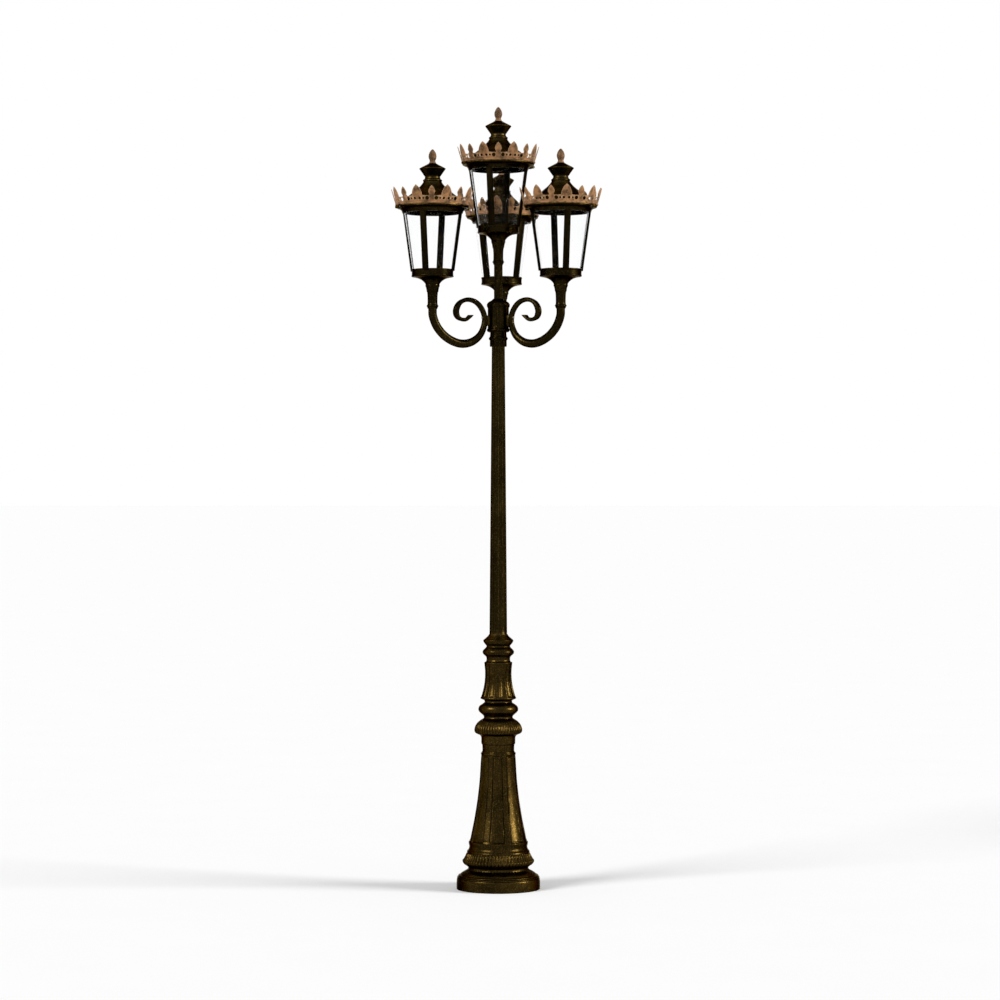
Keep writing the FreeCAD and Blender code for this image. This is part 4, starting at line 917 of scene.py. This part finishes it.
# --- lantern
@dataclass
class Crown:
    """The pierced crown: a flared band with broad leaves, narrow buds and a row of holes."""

    radius: float = 162.2
    foot: float = 313.7
    flare: float = 0.285
    sheet: float = 3.0
    turn: float = -4.8
    periods: int = 8
    leaf: Outline = ((22.5, 33), (22, 41), (18, 54), (10.5, 68), (0, 79))
    bud: Outline = ((9, 32), (10.5, 39), (14, 47), (11.5, 57), (5.5, 68), (0, 74))
    valley: float = 31.0
    hole_height: float = 20.5
    holes: tuple[tuple[float, float], ...] = ((7.0, 8.5), (12.9, 4.6), (18.5, 6.0))
    bead: Outline = (
        (313.7, 161), (313.7, 163.5), (315, 165.6), (317, 166.2), (319, 165.8), (320.4, 164.6, 1),
        (320.4, 161, 1), (313.7, 161),
    )

    def flat(self) -> BMesh:
        """One period of the crown, cut from a flat sheet: a bud in the middle and half a leaf each side."""
        bm = bmesh.new()
        half = pi / self.periods * self.radius
        left = smooth(self.bud[::-1], 4.0)
        right = smooth([(half - out, up) for out, up in self.leaf], 4.0)
        side = [*left, Vector(((left[-1].x + right[0].x) / 2, self.valley)), *right]
        top = [Vector((-p.x, p.y)) for p in reversed(side)] + side[1:]
        corners = [Vector((-half, 0.0)), *top, Vector((half, 0.0))]
        verts = [bm.verts.new((p.x, 0.0, p.y)) for p in corners]
        for near, far in zip(verts, verts[1:] + verts[:1]):
            bm.edges.new((near, far))
        for way in (-1, 1):
            for away, radius in self.holes:
                centre = Vector((way * radians(away) * self.radius, 0.0, self.hole_height))
                placing = Matrix.Translation(centre) @ Matrix.Rotation(pi / 2, 4, "X")
                bmesh.ops.create_circle(bm, segments=20, radius=radius, matrix=placing)
        bmesh.ops.triangle_fill(bm, use_beauty=True, edges=bm.edges[:], normal=(0, -1, 0))
        planes = [((-half + 2 * half * cut / 16, 0, 0), (1, 0, 0)) for cut in range(1, 16)]
        planes += [((0, 0, level), (0, 0, 1)) for level in (8.0, 34.0, 50.0, 64.0)]
        for point, normal in planes:
            bmesh.ops.bisect_plane(bm, geom=bm.verts[:] + bm.edges[:] + bm.faces[:], plane_co=point,
                                   plane_no=normal, dist=0.001)
        return bm

    def build(self) -> BMesh:
        """The whole crown, bent round, thickened and beaded along its foot."""
        bm = bmesh.new()
        for period in range(self.periods):
            piece = self.flat()
            middle = radians(self.turn + 180.0 / self.periods + 360.0 / self.periods * period)
            for vert in piece.verts:
                angle = middle + vert.co.x / self.radius
                lean = 0.3 * cos(min(abs(vert.co.x) / 14.0, 1.0) * pi / 2) * ramp(vert.co.z, 30.0, 46.0)
                radius = self.radius + self.flare * vert.co.z + lean
                vert.co = Vector((radius * cos(angle), radius * sin(angle), self.foot + vert.co.z))
            join(bm, piece)
        bmesh.ops.remove_doubles(bm, verts=bm.verts[:], dist=0.02)
        bmesh.ops.recalc_face_normals(bm, faces=bm.faces[:])
        outward = sum(face.normal.dot(face.calc_center_median().xy.to_3d()) for face in bm.faces)
        if outward < 0:
            bmesh.ops.reverse_faces(bm, faces=bm.faces[:])
        bmesh.ops.solidify(bm, geom=bm.faces[:], thickness=self.sheet)
        join(bm, turned(self.bead, 192, 1.0))
        bmesh.ops.recalc_face_normals(bm, faces=bm.faces[:])
        return bm


@dataclass(frozen=True)
class Part:
    """One finished piece of a lantern, in the lantern's own frame."""

    cad_node: str
    name: str
    bm: BMesh
    coat: Coat
    opens: bool = False


@dataclass
class Lantern:
    """A lantern: its fixed cage and glass, and the roof, crown, cap and finial that open together."""

    coats: Coats
    crown: Crown = field(default_factory=Crown)
    hinge_out: float = 170.0
    hinge_z: float = 303.9
    ring_head: float = 310.4
    closing_out: float = 172.5
    cup: Outline = (
        (-141, 0), (-141, 19.7, 1), (-139, 22), (-135, 23), (-133, 23.4, 1), (-131, 25.6), (-129, 26.2),
        (-126.5, 25.8), (-124, 23.6, 1), (-118, 22.2), (-103, 22), (-86, 22.4), (-74, 23.2), (-67, 24, 1), (-65, 26),
        (-59, 26.6), (-52, 27.8), (-45, 29.6), (-42, 31.2, 1), (-39, 32), (-35, 31.4), (-32, 31.6), (-24, 36.8),
        (-15, 46.5), (-8, 59), (-3, 75), (0, 91.6, 1), (1.5, 93.3), (5.5, 93.4), (7.5, 92, 1), (25, 92, 1),
        (26.5, 93.4), (31.5, 93.5), (33.4, 92.8, 1), (33.4, 91.1, 1), (8, 87.5, 1), (8, 0),
    )
    sleeve: Outline = (
        (8, 83.9), (8, 86.6, 1), (292.4, 126.6, 1), (292.4, 123.9, 1), (8, 83.9),
    )
    band: Outline = (
        (282.4, 129), (282.4, 133.6, 1), (284, 134.6), (288, 135.4), (294, 138.5), (299, 144), (303, 152.5, 1),
        (304, 157.5), (306, 160.2), (308, 160.5), (310.4, 159, 1), (310.4, 146, 1), (299.5, 131, 1), (282.4, 129),
    )
    roof: Outline = (
        (310.7, 142), (310.7, 162.6, 1), (313.6, 162.6, 1), (313.6, 157.6, 1), (322, 148), (336, 132), (355.7, 110),
        (370, 92), (385.7, 73.5), (398, 59), (408.7, 49), (417, 43), (423, 40, 1), (424, 41.8), (427, 42.4),
        (430, 41.6), (431, 38.6, 1), (435.7, 35.4, 1), (435.7, 0), (403.2, 0, 1), (403.2, 49, 1), (380.7, 68),
        (350.7, 106), (318.2, 141, 1), (310.7, 142),
    )
    cap: Outline = (
        (435.7, 0), (435.7, 35, 1), (438, 34.2), (444, 33.6), (446, 33.8, 1), (446.4, 36), (449, 37.4, 1),
        (462, 46.4), (475.5, 56, 1), (477.6, 57.8), (480, 58), (481.6, 56.8, 1), (489, 43), (497, 27.5), (503, 17, 1),
        (506, 13.5), (512.6, 11.4, 1), (512.6, 0),
    )
    cone: Outline = (
        (502, 12), (502, 16.4, 1), (505, 16), (508, 14.2), (513, 12.4), (517, 13), (522, 15), (528, 17), (533, 17.6),
        (540, 17.2), (548, 14.9), (555, 11.4), (561, 7.2), (565.5, 2.6), (566.6, 0),
    )
    module: Outline = (
        (318.4, 0), (318.4, 56, 1), (319.6, 60.5), (323, 62, 1), (330, 62, 1), (332.4, 60, 1), (332.4, 24, 1),
        (403.2, 24, 1), (403.2, 0),
    )

    def bars(self) -> BMesh:
        """The four slanted uprights of the cage, each with a raised rib down its face."""
        bars = bmesh.new()
        for azimuth in (45.0, 135.0, 225.0, 315.0):
            for foot, head, half in (((91.4, 98.0), (126.6, 134.0), 14.2), ((98.0, 99.0), (134.0, 134.2), 9.5)):
                ends = ((25.6, foot), (282.3, head))
                rib = bmesh.new()
                bmesh.ops.create_cube(rib, size=2.0)
                for vert in rib.verts:
                    height, (inner, outer) = ends[vert.co.z > 0]
                    vert.co = Vector(((inner, outer)[vert.co.x > 0], half * vert.co.y, height))
                bevel(rib, rib.edges[:], 0.5 if half < 10 else 0.9)
                bmesh.ops.transform(rib, matrix=spin(azimuth), verts=rib.verts[:])
                join(bars, rib)
        return bars

    def ring(self) -> BMesh:
        """The dark band with its two hinge knuckles and its closing lug."""
        band = turned(self.band, 144, 2.5)
        out, up = self.hinge_out, self.hinge_z
        for near, far in ((-17.5, -8.5), (8.5, 17.5)):
            join(band, bar((out, near, up), (out, far, up), 6.2, 28))
            join(band, block((155.0, near, up - 6.2), (out, far, up + 3.0)))
        join(band, block((-179.5, -9.0, self.ring_head - 9.0), (-155.0, 9.0, self.ring_head), 0.8))
        return band

    def scales(self, azimuth: float, height: float, radius: float) -> float:
        """The radius with the pine cone's scales carved in."""
        if height < 515.0 or radius < 2.0:
            return radius
        climb = (height - 515.0) / 52.0 * 5.5
        across = azimuth / 360.0 * 8.0
        left = abs((across + climb) % 1.0 - 0.5) * 2.0
        right = abs((across - climb) % 1.0 - 0.5) * 2.0
        groove = max(ramp(left, 0.72, 1.0), ramp(right, 0.72, 1.0))
        return radius - 1.7 * groove * ramp(radius, 2.0, 8.0) * ramp(height, 515.0, 521.0)

    def roof_bell(self) -> BMesh:
        """The roof with its hinge knuckle and its closing lug."""
        roof = turned(self.roof, 128, 5.0)
        join(roof, bar((self.hinge_out, -8.0, self.hinge_z), (self.hinge_out, 8.0, self.hinge_z), 6.2, 28))
        join(roof, block((157.0, -8.0, 310.7), (176.2, 8.0, 313.6), 0.5))
        join(roof, block((167.0, -8.0, self.hinge_z), (176.2, 8.0, 313.6), 0.5))
        join(roof, block((-179.5, -9.0, 310.7), (-157.0, 9.0, 313.6), 0.5))
        return roof

    def parts(self) -> list[Part]:
        """Every piece of a lantern, in the lantern's own frame."""
        look = self.coats
        bolt = hexagon_bolt(Vector((-self.closing_out, 0.0, 313.7)), Vector((0, 0, 1)), (5.0, 4.0), (2.5, 10.0))
        return [
            Part("cup", "neck_and_cup", turned(self.cup, 112, 4.0), look.aluminium),
            # The uprights wear the darker cage coat: painted shade over the lamps' glints.
            Part("uprights", "cage_bars", self.bars(), look.cage),
            Part("glass", "sleeve", turned(self.sleeve, 128, 60.0), look.glass),
            Part("ring", "band", self.ring(), look.aluminium),
            # The roof wears the lighter roof coat: painted light, with a painted highlight round its waist.
            Part("roof", "roof_bell", self.roof_bell(), look.roof, True),
            Part("crown", "pierced_crown", self.crown.build(), look.copper, True),
            # The cap wears the lighter roof coat too: painted light that lifts its underside out of the shade the
            # roof throws on it.
            Part("cap", "vent_cap", turned(self.cap, 96, 3.0), look.roof, True),
            Part("finial", "pine_cone", turned(self.cone, 96, 1.2, self.scales), look.cone, True),
            Part("lamp", "light_module", turned(self.module, 96, 10.0), look.lamp, True),
            Part("closing_screw", "closing_bolt", bolt, look.steel, True),
        ]

    def build(self, places: dict[str, Matrix]) -> None:
        """Puts a lantern at each place; its hinge pin keeps its CAD shape.

        Args:
            places: The placing of each lantern, by its name.
        """
        parts = self.parts()
        for name, placing in places.items():
            for part in parts:
                body = f"{name}_lid" if part.opens else "post"
                put(part.bm.copy(), f"{name}_{part.name}", part.coat, body, f"{name}_{part.cad_node}", placing)
            dress_node(f"{name}_hinge_pin", self.coats.steel)
        for part in parts:
            part.bm.free()


# --- studio
@dataclass(frozen=True)
class Lamp:
    """A lamp's angle to the right of the camera, its elevation and its spread in degrees, and its strength."""

    aside: float
    elevation: float
    strength: float
    spread: float


@dataclass
class Studio:
    """The pale floor, the soft lamps, the white surround and the camera."""

    distance: float = 13.4
    view_azimuth: float = 272.64
    eye_height: float = 1.741
    aside: float = 0.0076
    lens: float = 107.64

    def floor(self) -> None:
        """Lays the floor."""
        bm = bmesh.new()
        bmesh.ops.create_grid(bm, x_segments=1, y_segments=1, size=900.0)
        mesh = bpy.data.meshes.new("floor")
        bm.to_mesh(mesh)
        bm.free()
        floor = added("floor", mesh)
        sheet = Sheet("pale_floor")
        tone = sheet.blend(sheet.noise(2.0, 4.0), (0.93, 0.93, 0.93), (0.95, 0.95, 0.95))
        mesh.materials.append(sheet.finished(tone, Roughness=0.95, Specular_IOR_Level=0.0))

    def surround(self) -> None:
        """Makes the world plain white, and dimmer where only its light counts."""
        world = bpy.data.worlds.new("surround")
        bpy.context.scene.world = world
        world.use_nodes = True
        nodes, links = world.node_tree.nodes, world.node_tree.links
        back = nodes["Background"]
        back.inputs["Color"].default_value = (1.0, 1.0, 1.0, 1.0)
        rays = nodes.new("ShaderNodeLightPath")
        shown = rays.outputs["Is Camera Ray"]
        for kind in ("Is Transmission Ray", "Is Glossy Ray"):
            either = nodes.new("ShaderNodeMath")
            either.operation = "MAXIMUM"
            links.new(shown, either.inputs[0])
            links.new(rays.outputs[kind], either.inputs[1])
            shown = either.outputs["Value"]
        strength = nodes.new("ShaderNodeMapRange")
        strength.inputs["To Min"].default_value = 0.335
        links.new(shown, strength.inputs["Value"])
        links.new(strength.outputs["Result"], back.inputs["Strength"])

    def lamp(self, name: str, light: Lamp) -> None:
        """Hangs one soft, distant lamp."""
        data = bpy.data.lights.new(name, "SUN")
        data.energy = light.strength
        data.angle = radians(light.spread)
        azimuth, up = radians(self.view_azimuth + light.aside), radians(light.elevation)
        towards = Vector((cos(azimuth) * cos(up), sin(azimuth) * cos(up), sin(up)))
        added(name, data).rotation_euler = (-towards).to_track_quat("-Z", "Y").to_euler()

    def camera(self) -> None:
        """Sets up the camera level, at the photograph's place."""
        data = bpy.data.cameras.new("camera")
        data.lens = self.lens
        data.clip_end = 2000.0
        camera = added("camera", data)
        angle = radians(self.view_azimuth)
        right = Vector((-sin(angle), cos(angle), 0.0))
        eye = Vector((cos(angle), sin(angle), 0.0)) * self.distance + right * self.aside
        eye.z = self.eye_height
        camera.location = eye
        camera.rotation_euler = (pi / 2, 0.0, angle + pi / 2)
        bpy.context.scene.camera = camera

    def build(self) -> None:
        """Builds the studio."""
        self.floor()
        self.surround()
        self.lamp("left_softbox", Lamp(-51.0, 31.0, 2.2, 24.0))
        self.lamp("right_softbox", Lamp(77.0, 20.0, 3.2, 25.0))
        self.camera()
        bpy.context.scene.view_settings.view_transform = "Standard"


def main() -> None:
    """Builds the studio and then the lamp post, from the ground up."""
    logging.basicConfig(level=logging.INFO, format="%(relativeCreated)d ms: %(message)s")
    Studio().build()
    coats = Coats()
    Base(coats).build()
    Collars(coats).build()
    Shaft(coats).build()
    Hub(coats).build()
    arms = {"back": 90.0, "left": 210.0, "right": 330.0}
    ScrollArms(coats, arms).build()
    places = {name: spin(azimuth) @ Matrix.Translation((328.0, 0.0, 2729.0)) for name, azimuth in arms.items()}
    places["centre"] = spin(30.0) @ Matrix.Translation((0.0, 0.0, 2936.0))
    Lantern(coats).build(places)
    dress_node("base_door_hinge_pin", coats.steel)


if __name__ == "__main__":
    main()
